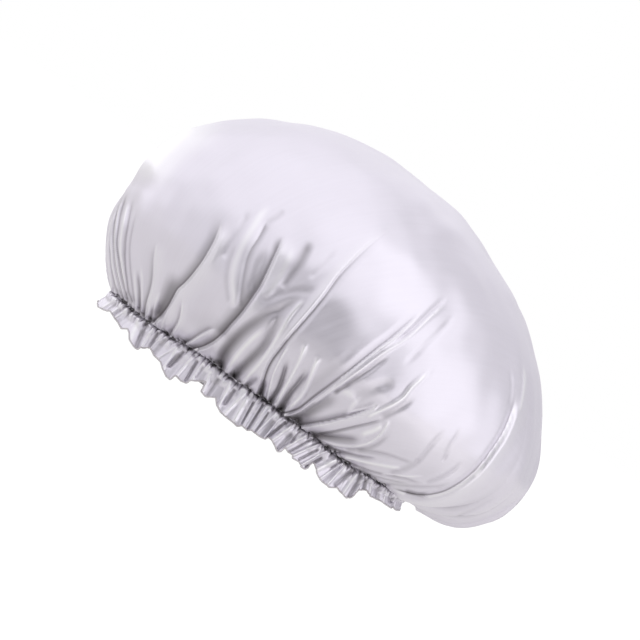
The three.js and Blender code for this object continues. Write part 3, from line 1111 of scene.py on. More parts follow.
@dataclass
class ClothRelief:
    """Everything that lifts the crown's cloth off its filled-out shape."""

    shape: Fullness
    gathers: Gathers
    folds: tuple[Fold, ...]
    seen: SeenRelief
    fold_gain: float = 1.4
    placed_from: float = 0.03
    placed_to: float = 0.425
    placed_fade: float = 0.03
    puckers: GatherSize = GatherSize(0, 2.6, 1.2, 4.5, 3.0)
    wider: tuple[GatherSize, ...] = (
        GatherSize(1, 2.0, 2.5, 10, 2.0, 0.45), GatherSize(2, 2.6, 6.0, 34, 1.8, 0.9),
        GatherSize(3, 2.4, 16.0, 70, 1.8, 0.97),
    )

    def left_side(self, turn: Array) -> Array:
        """1 where the folds are set out one by one, falling to 0 elsewhere."""
        return eased((turn - self.placed_from) / self.placed_fade) * eased((self.placed_to - turn) / self.placed_fade)

    def loose(self, turn: Array, climb: Array, points: Array) -> Array:
        """Height of the gathers and the far folds over the filled-out shape.

        Args:
            turn: Shares of a turn.
            climb: Shares of the climb.
            points: The filled-out shape's points.

        Returns:
            Heights in millimetres.
        """
        step = 0.0008
        around = self.shape.at(turn + step, climb) - self.shape.at(turn - step, climb)
        round_mm = np.linalg.norm(around, axis=-1) / (2 * step) / MM
        climb_mm = np.broadcast_to(self.shape.length_at(turn) / MM, round_mm.shape)
        up_mm = climb * climb_mm
        total = sum(size * soft_noise(points, seed, waves) * eased(up_mm / grow) for size, seed, waves, grow in SWELLS)
        placed = self.left_side(turn)
        total = total + self.gathers.relief(turn, up_mm, self.puckers) - self.gathers.drawn_in(turn, up_mm)
        total = total - 1.2 * self.gathers.snarls(points, up_mm)
        for size in self.wider:
            total = total + self.gathers.relief(turn, up_mm, size) * (1 - size.held_back * placed)
        for fold in self.folds:
            total = total + self.fold_gain * fold.relief(turn, climb, round_mm, climb_mm)
        return total


Feed = Socket | float | Sequence[float]
"""What an input takes: another node's socket or a constant."""


@dataclass
class NodeBoard:
    """A node tree that is being wired."""

    tree: NodeTree

    def add(self, kind: str, feeds: dict[str | int, Feed] | None = None, **options: object) -> bpy.types.Node:
        """Adds a node.

        Args:
            kind: The node's type, without the ShaderNode before it.
            feeds: What its named or numbered inputs take.
            **options: The node's own settings.

        Returns:
            The new node.
        """
        made = self.tree.nodes.new("ShaderNode" + kind)
        for name, value in options.items():
            setattr(made, name, value)
        for label, value in (feeds or {}).items():
            if isinstance(value, Socket):
                self.tree.links.new(value, made.inputs[label])
            else:
                made.inputs[label].default_value = value
        return made

    def math(self, operation: str, *feeds: Feed, **options: object) -> Socket:
        """Adds a math node and gives its result."""
        return self.add("Math", dict(enumerate(feeds)), operation=operation, **options).outputs[0]

    def blend(self, factor: Feed, first: Feed, second: Feed) -> Socket:
        """Mixes two colours."""
        return self.add("Mix", {"Factor": factor, "A": first, "B": second}, data_type="RGBA").outputs["Result"]

    def ramp(self, value: Feed, reach: Pair, ends: Pair) -> Socket:
        """A smooth change from one end value to the other over a reach."""
        feeds = dict(zip(("Value", "From Min", "From Max", "To Min", "To Max"), (value, *reach, *ends)))
        return self.add("MapRange", feeds, interpolation_type="SMOOTHSTEP").outputs[0]

    def group(self, tree: NodeTree, **feeds: Feed) -> bpy.types.NodeOutputs:
        """Adds a shared group and gives its outputs."""
        return self.add("Group", feeds, node_tree=tree).outputs

    def mixed(self, share: Feed, first: Socket, second: Socket) -> Socket:
        """Mixes two shaders."""
        return self.add("MixShader", {0: share, 1: first, 2: second}).outputs[0]


def empty_board(owner: Material | bpy.types.World) -> NodeBoard:
    """Clears the node tree of a new material or world for wiring.

    Args:
        owner: The material or world.

    Returns:
        Its empty tree.
    """
    owner.use_nodes = True
    owner.node_tree.nodes.clear()
    return NodeBoard(owner.node_tree)


class ShaderGroup(NodeBoard):
    """A shared node group in the making."""

    def __init__(self, name: str, **inputs: float | tuple[float, ...]) -> None:
        """Makes the group with its inputs.

        Args:
            name: The group's name.
            **inputs: Its inputs' first values: three numbers for a vector, four for a colour.
        """
        super().__init__(bpy.data.node_groups.new(name, "ShaderNodeTree"))
        kinds = {3: "NodeSocketVector", 4: "NodeSocketColor"}
        for label, value in inputs.items():
            kind = kinds[len(value)] if isinstance(value, tuple) else "NodeSocketFloat"
            socket = self.tree.interface.new_socket(name=label, in_out="INPUT", socket_type=kind)
            socket.default_value = value
        self.given = self.tree.nodes.new("NodeGroupInput").outputs

    def giving(self, kind: str = "NodeSocketFloat", **outputs: Socket) -> NodeTree:
        """Ends the group with its outputs.

        Args:
            kind: The outputs' socket type.
            **outputs: The socket that each one gives.

        Returns:
            The group.
        """
        leave = self.tree.nodes.new("NodeGroupOutput")
        for label, socket in outputs.items():
            self.tree.interface.new_socket(name=label, in_out="OUTPUT", socket_type=kind)
            self.tree.links.new(socket, leave.inputs[label])
        return self.tree


def weave_group() -> NodeTree:
    """Fine satin threads that run one way along the flat cloth, with faint slubs.

    Returns:
        The group, which gives a height and a mask of slubs.
    """
    group = ShaderGroup("satin_weave", Vector=(0.0, 0.0, 0.0), Pitch=0.0004, Slubs=1.0)
    size = group.math("DIVIDE", 1.0, group.given["Pitch"])
    scaled = group.add("VectorMath", {0: group.given["Vector"], "Scale": size}, operation="SCALE").outputs[0]
    ripple = {"Vector": scaled, "Scale": 0.314, "Distortion": 0.6, "Detail": 1.0}
    threads = group.add("TexWave", ripple, wave_type="BANDS", bands_direction="Y", wave_profile="SIN")
    long_way = group.add("Mapping", {"Vector": scaled, "Scale": (0.012, 0.22, 0.22)}, vector_type="POINT")
    grain = {"Vector": long_way.outputs[0], "Scale": 1.0, "Detail": 3.0, "Roughness": 0.62}
    slubs = group.add("TexNoise", grain, noise_dimensions="2D")
    strength = group.math("MULTIPLY", slubs.outputs["Fac"], group.given["Slubs"])
    return group.giving(Height=group.math("MULTIPLY_ADD", threads.outputs["Fac"], 0.25, strength), Slub=strength)


def cloud_group() -> NodeTree:
    """Slow uneven tone, as light cloth shows after wear and washing.

    Returns:
        The group, which gives one value round 0.5.
    """
    group = ShaderGroup("cloth_clouds", Vector=(0.0, 0.0, 0.0), Size=0.05, Contrast=0.5)
    size = group.math("DIVIDE", 1.0, group.given["Size"])
    spots = {"Vector": group.given["Vector"], "Scale": size, "Detail": 3.0}
    noise = group.add("TexNoise", spots, noise_dimensions="3D")
    centred = group.math("SUBTRACT", noise.outputs["Fac"], 0.5)
    return group.giving(Value=group.math("MULTIPLY_ADD", centred, group.given["Contrast"], 0.5))


def tint_group() -> NodeTree:
    """Colour of cloth between two tones, darkened by painted shade in its creases and lightened by painted highlights
    on its crests.

    Returns:
        The group, which gives one colour.
    """
    # The Crease grey is the colour of painted shade, and the Crest grey the colour of painted highlights.
    greys = {"Light": 0.8, "Deep": 0.5, "Crease": 0.3, "Crest": 0.9}
    colours = {label: (grey, grey, grey, 1.0) for label, grey in greys.items()}
    group = ShaderGroup("tint_with_painted_light", **colours, Tone=0.5, Mask=0.0)
    given = group.given
    tone = group.blend(given["Tone"], given["Deep"], given["Light"])
    # Below 0 the mask paints a highlight over the tone, and above 0 it paints shade.
    painted_highlight = group.math("MULTIPLY", given["Mask"], -1.0, use_clamp=True)
    crest = group.blend(painted_highlight, tone, given["Crest"])
    return group.giving("NodeSocketColor", Color=group.blend(given["Mask"], crest, given["Crease"]))


@dataclass
class ClothGroups:
    """The shared groups, built once."""

    weave: NodeTree
    clouds: NodeTree
    tint: NodeTree


@dataclass(frozen=True)
class SatinFinish:
    """Silver-grey satin with a faint lilac cast, with painted shade in its creases and painted highlights on its
    crests.
    """

    name: str = "silver_satin"
    light: tuple[float, float, float] = (0.83, 0.80, 0.875)
    deep: tuple[float, float, float] = (0.76, 0.73, 0.80)
    # Colour of the painted shade at the foot of creases.
    crease: tuple[float, float, float] = (0.10, 0.088, 0.094)
    # Colour of the painted highlights on crests.
    crest: tuple[float, float, float] = (0.97, 0.96, 0.985)
    reverse: tuple[float, float, float] = (0.66, 0.65, 0.69)
    metallic: float = 0.62
    roughness: float = 0.33
    sheen: float = 0.06
    pitch: float = 0.0005
    weave_lift: float = 0.00003
    grain_turn: float = 35.0
    cloud_size: float = 0.045

    def material(self, groups: ClothGroups) -> Material:
        """Builds the satin.

        Args:
            groups: The shared shader groups.

        Returns:
            The material.
        """
        made = bpy.data.materials.new(self.name)
        board = empty_board(made)
        pattern = board.add("UVMap", uv_map="flat_pattern").outputs[0]
        turned = {0: pattern, "Rotation": (0.0, 0.0, math.radians(self.grain_turn))}
        grain = board.add("Mapping", turned, vector_type="POINT").outputs[0]
        place = board.add("TexCoord").outputs["Object"]
        weave = board.group(groups.weave, Vector=grain, Pitch=self.pitch, Slubs=1.0)
        clouds = board.group(groups.clouds, Vector=place, Size=self.cloud_size, Contrast=1.1)
        cloudy = board.math("MULTIPLY_ADD", clouds["Value"], 0.6, 0.0)
        # The crease attribute paints shade into the creases and highlights onto the crests.
        face = board.group(
            groups.tint,
            Light=(*self.light, 1.0),
            Deep=(*self.deep, 1.0),
            Crease=(*self.crease, 1.0),
            Crest=(*self.crest, 1.0),
            Tone=board.math("MULTIPLY_ADD", weave["Slub"], 0.5, cloudy),
            Mask=board.add("Attribute", attribute_name="crease").outputs["Fac"],
        )["Color"]
        back = board.add("NewGeometry").outputs["Backfacing"]
        lift = {"Strength": 1.0, "Distance": self.weave_lift, "Height": weave["Height"]}
        shader = board.add("BsdfPrincipled", {
            "Base Color": board.blend(back, face, (*self.reverse, 1.0)),
            "Roughness": board.math("MULTIPLY_ADD", weave["Slub"], 0.10, self.roughness - 0.05),
            "Normal": board.add("Bump", lift).outputs[0],
            "Metallic": self.metallic,
            "Anisotropic": 0.35,
            "Sheen Weight": self.sheen,
            "Sheen Roughness": 0.4,
            "Specular IOR Level": 0.6,
        })
        board.add("OutputMaterial", {0: shader.outputs[0]})
        return made


@dataclass(frozen=True)
class PlainClothFinish:
    """A duller cloth or thread: tape, hem, sewing thread or knitted elastic."""

    name: str
    light: tuple[float, float, float]
    deep: tuple[float, float, float]
    roughness: float
    pitch: float
    lift: float
    sheen: float = 0.2

    def material(self, groups: ClothGroups) -> Material:
        """Builds the finish.

        Args:
            groups: The shared shader groups.

        Returns:
            The material.
        """
        made = bpy.data.materials.new(self.name)
        board = empty_board(made)
        place = board.add("TexCoord").outputs["Object"]
        weave = board.group(groups.weave, Vector=place, Pitch=self.pitch, Slubs=0.6)
        clouds = board.group(groups.clouds, Vector=place, Size=0.012, Contrast=1.2)
        tint = board.group(groups.tint, Light=(*self.light, 1.0), Deep=(*self.deep, 1.0), Tone=clouds["Value"])
        shader = board.add("BsdfPrincipled", {
            "Base Color": tint["Color"],
            "Normal": board.add("Bump", {"Distance": self.lift, "Height": weave["Height"]}).outputs[0],
            "Roughness": self.roughness,
            "Sheen Weight": self.sheen,
        })
        board.add("OutputMaterial", {0: shader.outputs[0]})
        return made


@dataclass(frozen=True)
class RowBand:
    """How the crown's rows are set below a height, in millimetres of cloth.

    The step grows over the band, and every part-th column is kept.
    """

    below: float
    step: float
    part: int
    growth: float = 0.0


@dataclass
class Crown:
    """The gathered crown, one sheet of satin from the band to the peak.

    Its folds lift it level off the band at first, and square to the cloth from level_mm up. The band's
    own rise and fall is gone by ride_mm. Painted shade under the seeded folds has hollow_depth, and painted shade
    where the folds spring from the band has root_depth and dies away with root_mm.
    """

    shape: Fullness
    relief: ClothRelief
    columns: int = 1664
    cloth_radius: float = 265 * MM
    crowding: float = 0.38
    crowded_turn: float = 0.27
    level_mm: float = 9.0
    ride_mm: float = 32.0
    hollow_depth: float = 0.55
    root_depth: float = 0.55
    root_mm: float = 8.5
    row_bands: tuple[RowBand, ...] = (
        RowBand(7.0, 0.5, 1), RowBand(60.0, 0.6, 1, 0.3), RowBand(120.0, 1.3, 2), RowBand(150.0, 1.9, 2),
        RowBand(216.0, 2.6, 4), RowBand(math.inf, 3.6, 8),
    )

    def rows(self) -> list[tuple[float, int]]:
        """Climb and column count of each row, fine by the band and coarser above.

        Returns:
            Pairs of climb share and columns.
        """
        length = float(np.mean(self.shape.column_length)) / MM
        found: list[tuple[float, int]] = [(0.0, self.columns)]
        at = 0.0
        while at < length - 4.0:
            band = next(band for band in self.row_bands if at < band.below)
            at += band.step + band.growth * at / band.below
            found.append((min(at / length, 0.992), self.columns // band.part))
        return found

    def row_points(self, turn: Array, climb: float) -> tuple[Array, Array]:
        """One ring of the folded cloth.

        Args:
            turn: The ring's places, as shares of a turn.
            climb: Its climb share.

        Returns:
            The points, and their tones from 1 for full painted shade in a crease to -1 for a full painted highlight on
            a crest.
        """
        climbs = np.full_like(turn, climb)
        base = self.shape.at(turn, climbs)
        step = 0.0015
        around = self.shape.at(turn + step, climbs) - self.shape.at(turn - step, climbs)
        upward = self.shape.at(turn, np.clip(climbs + step, 0, 1)) - self.shape.at(turn, np.clip(climbs - step, 0, 1))
        normal = np.cross(around, upward)
        normal /= np.linalg.norm(normal, axis=-1, keepdims=True)
        level = self.shape.opening.outward(turn)
        up_mm = climb * self.shape.length_at(turn) / MM
        blend = eased(up_mm / self.level_mm)[:, None]
        way = level * (1 - blend) + normal * blend
        way /= np.linalg.norm(way, axis=-1, keepdims=True)
        gathers = self.relief.gathers
        base[:, 2] += gathers.lift(turn) * (1 - eased(up_mm / self.ride_mm)) * MM
        loose = self.relief.loose(turn, climbs, base)
        height, mark = self.relief.seen.settle(base, way, loose)
        # Painted shade under the seeded folds, and where the folds spring from the band except on painted highlights.
        hollow = self.hollow_depth * np.clip(-loose / 2.6, 0.0, 1.0) * eased((0.32 - climbs) / 0.3)
        root = self.root_depth * np.exp(-((up_mm / self.root_mm) ** 2)) * (1 - np.clip(-mark, 0, 1))
        tone = gathers.tone(turn, up_mm, base, mark, hollow, root * self.relief.left_side(turn))
        return base + way * ((loose + height) * MM)[:, None], tone

    def build(self, finish: Material) -> None:
        """Makes the crown.

        Args:
            finish: Its satin.
        """
        sheet = SheetBuilder()
        for climb, count in self.rows():
            turn = crowded_turns(count, self.crowding, self.crowded_turn)
            points, tone = self.row_points(turn, climb)
            reach = self.cloth_radius * (1 - climb)
            sheet.add_row(points, flat_ring(reach, turn), tone)
        peak = self.shape.at(np.zeros(1), np.ones(1))[0]
        sheet.add_peak(peak, np.zeros(2))
        piece = sheet.build("crown_cloth")
        dress(piece, finish)
        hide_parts("crown")
        log.info("crown: %d faces", len(piece.data.polygons))


HEM_OUTLINE: Places = (
    (97.5, 304), (98, 308), (102.3, 309.6), (106.4, 311), (110.5, 312), (113.6, 318), (116.6, 322), (119.7, 328),
    (126.8, 329), (129, 334), (130, 341), (134, 347.3), (138, 350), (143, 349), (150.3, 348), (152.3, 351.5),
    (154.4, 356.5), (160.5, 362.7), (162, 369), (164.6, 376), (168.7, 379.5), (171.7, 376), (174.8, 376), (179, 380.5),
    (185, 383), (188, 380.5), (203, 381), (206, 383), (200.5, 388), (200.5, 392), (205.4, 397.3), (216.6, 399),
    (217.7, 406.5), (221.7, 413.7), (225, 417), (233.3, 423.3), (237.3, 427.3), (241.4, 426.3), (246.5, 430.4),
    (250.6, 430.4), (255.7, 434.5), (263, 438.6), (267, 436.5), (271, 441.6), (276, 451.3), (280, 451.3),
    (283.3, 446.7), (287.3, 451.8), (291.4, 455), (292.4, 459), (299.6, 463), (301.6, 468.2), (305.7, 470.7),
    (309.8, 469.2), (313, 464), (316, 465), (317, 473.3), (320, 480.4), (328.2, 487.6), (336.3, 487.6), (340.4, 493.7),
    (344.5, 497.8), (349.6, 497.8), (353.7, 493.7), (357, 490), (366, 490.5), (368.8, 496.4), (371.4, 497.3),
    (376.8, 500), (385, 502.7), (398, 503), (408, 504), (417, 505.5), (430, 509),
)
# The frill's lower edge, in the picture's pixels.
"""The frill's lower edge, by eye in the picture's pixels."""


def pleat(
    top_right: float, top_down: float, foot_right: float, foot_down: float, height: float, reach: float,
    shade: float = 0.0,
) -> SeenFold:
    """One pleat of the frill, placed in the picture's pixels.

    Args:
        top_right: Where it leaves the gathered line, from the left.
        top_down: The same from the top.
        foot_right: Where it reaches the hem, from the left.
        foot_down: The same from the top.
        height: Its height in millimetres, less than 0 for a valley.
        reach: Half its width.
        shade: Depth of its painted crease shade at the top, which falls towards the hem.

    Returns:
        The pleat, drawn out a quarter past the hem.
    """
    past = (foot_right + (foot_right - top_right) * 0.25, foot_down + (foot_down - top_down) * 0.25)
    line = ((top_right, top_down), (foot_right, foot_down), past)
    return SeenFold(line, height, reach, (shade, 0.55 * shade, 0.9 * reach), keen=0.25, grow=3, fade=2, lead=2)


SEEN_PLEATS: tuple[SeenFold, ...] = tuple(
    pleat(*row)
    for row in (
        (120, 297, 105, 306, 0.7, 2.2), (125, 298, 108, 310, -0.7, 2.0, 0.5), (130, 300, 111.5, 313, 0.9, 1.9),
        (132.5, 302, 114, 315, -0.7, 1.7, 0.5), (135, 304, 117, 316.5, 0.9, 1.8), (137, 307, 119, 321, -0.6, 3.0, 0.4),
        (140, 318, 129, 342, 0.9, 5.5), (146.5, 323, 137, 345, -1.4, 3.8, 0.75), (154, 327, 142, 346, 1.2, 2.6),
        (158.5, 332, 150, 346, -1.3, 2.4, 0.8), (165, 332, 152, 347, 0.8, 1.6), (166, 339, 155, 352, -0.8, 4.0, 0.55),
        (177, 346, 157.5, 358.5, 0.7, 1.8), (178, 347, 165, 366, 1.2, 3.2), (184, 351, 171, 364, -1.6, 4.2, 0.85),
        (193, 356, 177, 375, 1.3, 3.0), (197, 361, 187, 378, -1.4, 2.8, 0.75), (204, 362, 192, 380, 1.0, 3.2),
        (203, 367, 197, 376, -0.6, 2.6, 0.5), (211, 371, 202, 392, 1.1, 4.0), (219, 378, 208, 394, -1.2, 4.4, 0.65),
        (232, 380, 220, 404, 1.3, 3.2), (235, 389, 226, 402, -1.3, 3.4, 0.75), (249, 389, 227, 411, 1.0, 3.4),
        (248, 396, 236, 417, 0.8, 4.2), (253.5, 402, 243.5, 421, -1.2, 1.9, 0.8), (258.5, 399, 243, 425, 1.2, 1.9),
        (263.5, 404, 248.5, 428, -1.3, 2.0, 0.85), (268, 404, 252.7, 428, 1.1, 1.7),
        (269, 412, 256, 431, -1.0, 1.8, 0.8), (278, 411, 257, 432, 1.2, 2.2), (274, 421, 262, 435, -1.0, 4.0, 0.6),
        (281, 417, 264, 438, 1.1, 1.8), (286, 422, 269, 436, -1.4, 2.6, 0.9), (295.5, 423, 272, 440, 1.4, 3.2),
        (292, 434, 279, 448, -1.2, 4.2, 0.65), (300, 431, 292, 441, -1.0, 2.0, 0.85), (307, 435, 284, 448, 1.3, 2.8),
        (312, 439, 290.5, 451, -1.1, 1.8, 0.75), (321, 443, 293.5, 455, 1.3, 2.4),
        (318, 449.5, 301.5, 458, -1.1, 2.0, 0.75), (328, 449.5, 303.7, 463.5, 1.3, 2.0),
        (322, 458, 307.8, 466, -1.3, 2.4, 0.85), (337, 459, 318, 469, 1.1, 4.4),
        (340.5, 462, 332, 468, -1.0, 2.0, 0.8), (343, 462, 321, 478, 0.8, 1.8),
        (341.5, 466, 324, 481, -0.8, 2.0, 0.45), (346, 464, 327, 485, 1.2, 2.4),
        (351.6, 471, 337.5, 483, -1.3, 3.6, 0.7), (357, 473, 343, 493, 1.3, 3.2),
        (361.5, 475, 350, 495, -1.4, 3.0, 0.8), (364, 479, 357, 490, 0.9, 1.6), (366, 478, 363, 494, -1.2, 3.0, 0.85),
        (372.4, 479, 369, 496, 1.2, 2.2), (378.6, 480, 377, 498, -1.3, 4.4, 0.6), (386.6, 487, 384, 500, 0.9, 1.8),
        (392.5, 486, 391, 500, -1.3, 4.0, 0.7), (395, 488, 403, 501, 0.9, 1.5), (404, 493, 408, 503, -0.8, 3.0, 0.7),
    )
)


@dataclass
class Frill:
    """The pleated frill that hangs below the gathers, with its rolled hem.

    Top, depth, ends, puff, the floor's gap and the depths of lobes, notches and pleats are in millimetres,
    hang and shown are in degrees, and the lengths of the flat cloth are in metres. Lobes as wide as lobe_turn and
    pleats as wide as pleat_turn, both shares of a turn, have just these depths.
    """

    opening: HeadOpening
    gathers: Gathers
    seen: SeenRelief
    top: float = 23.6
    depth: float = 20.0
    hang: AroundHead = AroundHead(20, 11, 14)
    ends: AroundHead = AroundHead(12.5, 1.2, 14)
    lobe_depth: float = 2.6
    lobe_turn: float = 0.035
    notch_depth: float = 4.2
    overlap: float = 0.13
    pleat_depth: float = 1.3
    pleat_turn: float = 0.008
    puff: float = 1.3
    band_length: float = 560 * MM
    fullness: float = 1.3
    cloth_radius: float = 265 * MM
    flat_depth: float = 22 * MM
    floor_gap: float = 0.9
    shown_from: float = 2
    shown_to: float = 163
    shown_fade: float = 14
    crowding: float = 0.3
    crowded_turn: float = 0.25
    columns: int = 1792
    rows: int = 28
    seed: int = 23
    puckers: GatherSize = GatherSize(0, 2.2, 1.2, 3.2, 3.0)

    def __post_init__(self) -> None:
        """Sets out the lobes and pleats, seeded where the picture doesn't show them."""
        rng = np.random.default_rng(self.seed)
        notches = [20.0, 35.8, 51.7, 64.6, 74.2, 81.8, 100.2, 105.6, 117.7, 129.7, 137.2, 149.0]
        while notches[-1] < 367:
            notches.append(notches[-1] + float(rng.uniform(7.5, 16)))
        self.lobe_edges = np.array(notches) / 360.0
        self.lobe_strength = rng.uniform(0.75, 1.15, len(notches))
        edges = [0.0]
        while edges[-1] < 360:
            edges.append(edges[-1] + float(rng.choice([1.5, 2.2, 3.4, 4.6]) * rng.uniform(0.8, 1.2)))
        self.pleat_edges = np.array(edges[1:]) * (1.0 / edges[-1])
        self.pleat_strength = rng.uniform(0.35, 1.2, len(self.pleat_edges))

    def lobes(self, turn: Array) -> tuple[Array, Array, Array, Array]:
        """Finds the lobe that each place is on.

        Args:
            turn: Shares of a turn.

        Returns:
            How far across its lobe each place lies, how far the lobe throws the cloth out there, the lobe's
            size against the mean, and how far its cloth slips sideways.
        """
        first = self.lobe_edges[0]
        place = (turn - first) % 1.0 + first
        k = np.clip(np.searchsorted(self.lobe_edges, place, side="right") - 1, 0, len(self.lobe_edges) - 2)
        last = len(self.lobe_edges) - 2
        end = np.where(k == last, first + 1.0, np.minimum(self.lobe_edges[k + 1], first + 1.0))
        start = self.lobe_edges[k]
        across, wide, strength = (place - start) / (end - start), end - start, self.lobe_strength[k]
        bulge = 1 - np.abs(2 * across - 1) ** 2.6
        return across, bulge, np.clip(wide / self.lobe_turn, 0.45, 1.15) * strength, self.overlap * wide * strength

    def shown(self, turn: Array) -> Array:
        """1 where the edge and the pleats are placed one by one, falling to 0 elsewhere."""
        degrees = (turn * 360 + 180) % 360 - 180
        return eased((degrees - self.shown_from) / self.shown_fade) * eased((self.shown_to - degrees) / self.shown_fade)

    def plain(self, turn: Array, share: float, tall: Array) -> tuple[Array, Array]:
        """The frill without its lobes and pleats.

        Args:
            turn: Shares of a turn.
            share: 0 at the gathers and 1 at the hem.
            tall: Height of the frill at each place, in millimetres.

        Returns:
            The points, and unit vectors off the cloth.
        """
        angle = np.radians(self.hang.at(turn)) * (0.35 + 0.65 * eased(np.array(share / 0.5)))
        offset = self.opening.cloth_offset / MM + tall * share * np.tan(angle)
        points = self.opening.points(turn, offset * MM, (self.top + self.gathers.lift(turn) - tall * share) * MM)
        way = self.opening.outward(turn) * np.cos(angle)[:, None]
        way[:, 2] += np.sin(angle)
        return points, way

    def heights(self, turn: Array) -> Array:
        """How tall the frill is at each place, settled so that its edge shows where it was seen.

        Args:
            turn: Shares of a turn.

        Returns:
            Millimetres from the gathers to the hem.
        """
        _, bulge, size, _ = self.lobes(turn)
        top = self.top + self.gathers.lift(turn)
        seeded = top - np.maximum(self.ends.at(turn) + self.notch_depth * size * (1 - bulge) ** 1.4, self.floor_gap)
        view = self.seen.view
        run, rise = view.along_band(np.array(HEM_OUTLINE))
        run = np.maximum.accumulate(run + 0.001 * np.arange(len(run)))
        seen = seeded
        for _ in range(8):
            points, _ = self.plain(turn, 1.0, seen)
            along, up = view.along_band(view.place(points))
            wanted = sum(np.interp(along + step, run, rise) for step in (-0.5, 0.0, 0.5)) / 3
            seen = np.clip(seen + 0.5 * (up - wanted), 5.0, top - self.floor_gap)
        near = self.shown(turn)
        return seeded * (1 - near) + seen * near

    def surface(self, turn: Array, share: float, tall: Array) -> tuple[Array, Array]:
        """One ring of the frill.

        Args:
            turn: The ring's places, as shares of a turn.
            share: 0 at the gathers and 1 at the hem.
            tall: Height of the frill at each place, in millimetres.

        Returns:
            The points, and their tones from 1 for full painted shade in a crease to -1 for a full painted highlight on
            a crest.
        """
        near = self.shown(turn)
        u, bulge, size, slip = self.lobes(turn)
        k = np.clip(np.searchsorted(self.pleat_edges, turn), 0, len(self.pleat_edges) - 1)
        start = np.where(k == 0, 0.0, self.pleat_edges[k - 1])
        pleat_wide = self.pleat_edges[k] - start
        v = (turn - start) / pleat_wide
        open_out = float(eased(np.array(share / 0.9)))
        up_mm = -tall * share
        lobe = self.lobe_depth * size * (bulge - 0.62) * open_out * (1 - 0.6 * near)
        crest = 1 - np.abs(2 * v - 1) ** 1.35
        held = math.exp(-((share / 0.75) ** 2)) * 0.75 + 0.25
        fine = self.pleat_depth * self.pleat_strength[k] * np.sqrt(np.clip(pleat_wide / self.pleat_turn, 0.3, 1.6))
        fold = fine * (crest - 0.55) * float(eased(np.array(share / 0.18))) * held * (1 - 0.9 * near)
        pucker = self.gathers.relief(turn, up_mm, self.puckers) - self.gathers.drawn_in(turn, up_mm)
        proud = lobe + fold + pucker + self.puff * math.sin(math.pi * min(share / 0.5, 1.0))
        slip = -slip * open_out * np.sin(FULL_TURN * u) * (1 - near)
        slip = slip + 0.0016 * share * np.sin(FULL_TURN * 11 * turn + 1.1)
        base, way = self.plain(turn + slip, share, tall)
        height, mark = self.seen.settle(base, way, proud)
        points = base + way * ((proud + height) * MM)[:, None]
        points[:, 2] = np.maximum(points[:, 2], self.floor_gap * MM)
        # Painted shade in the seeded pleats' valleys and between the lobes, away from the side the picture shows.
        hollow = np.clip(0.4 * (1 - crest) * held + 0.35 * (1 - bulge) * open_out, 0, 1) * (1 - near)
        return points, self.gathers.tone(turn, up_mm, base, mark, hollow)

    def build(self, finish: Material, hem_finish: Material) -> None:
        """Makes the frill and its hem.

        Args:
            finish: The satin.
            hem_finish: The hem's finish.
        """
        sheet = SheetBuilder()
        turn = crowded_turns(self.columns, self.crowding, self.crowded_turn)
        tall = self.heights(turn)
        for share in np.linspace(1.0, 0.0, self.rows + 1) ** 1.15:
            points, tone = self.surface(turn, float(share), tall)
            around = self.cloth_radius + self.flat_depth * share
            sheet.add_row(points, flat_ring(around, turn), tone)
        piece = sheet.build("frill_cloth")
        dress(piece, finish)
        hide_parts("frill")
        hem = self.hem(turn, tall, hem_finish)
        log.info("frill: %d faces, hem: %d faces", len(piece.data.polygons), len(hem.data.polygons))

    def hem(self, turn: Array, tall: Array, finish: Material) -> bpy.types.Object:
        """Makes the narrow rolled hem along the frill's edge.

        Args:
            turn: The frill's columns.
            tall: Height of the frill at each column, in millimetres.
            finish: The hem's finish.

        Returns:
            The hem's object.
        """
        edge, _ = self.surface(turn, 1.0, tall)
        edge[:, 2] += 0.35 * MM
        radii, sides = (0.32 * MM, 0.52 * MM), 6
        rings = tube_rings(edge, self.opening.outward(turn), radii, sides)
        piece = mesh_piece("frill_hem", rings.reshape(-1, 3), tube_faces(self.columns, sides, True))
        dress(piece, finish)
        return piece


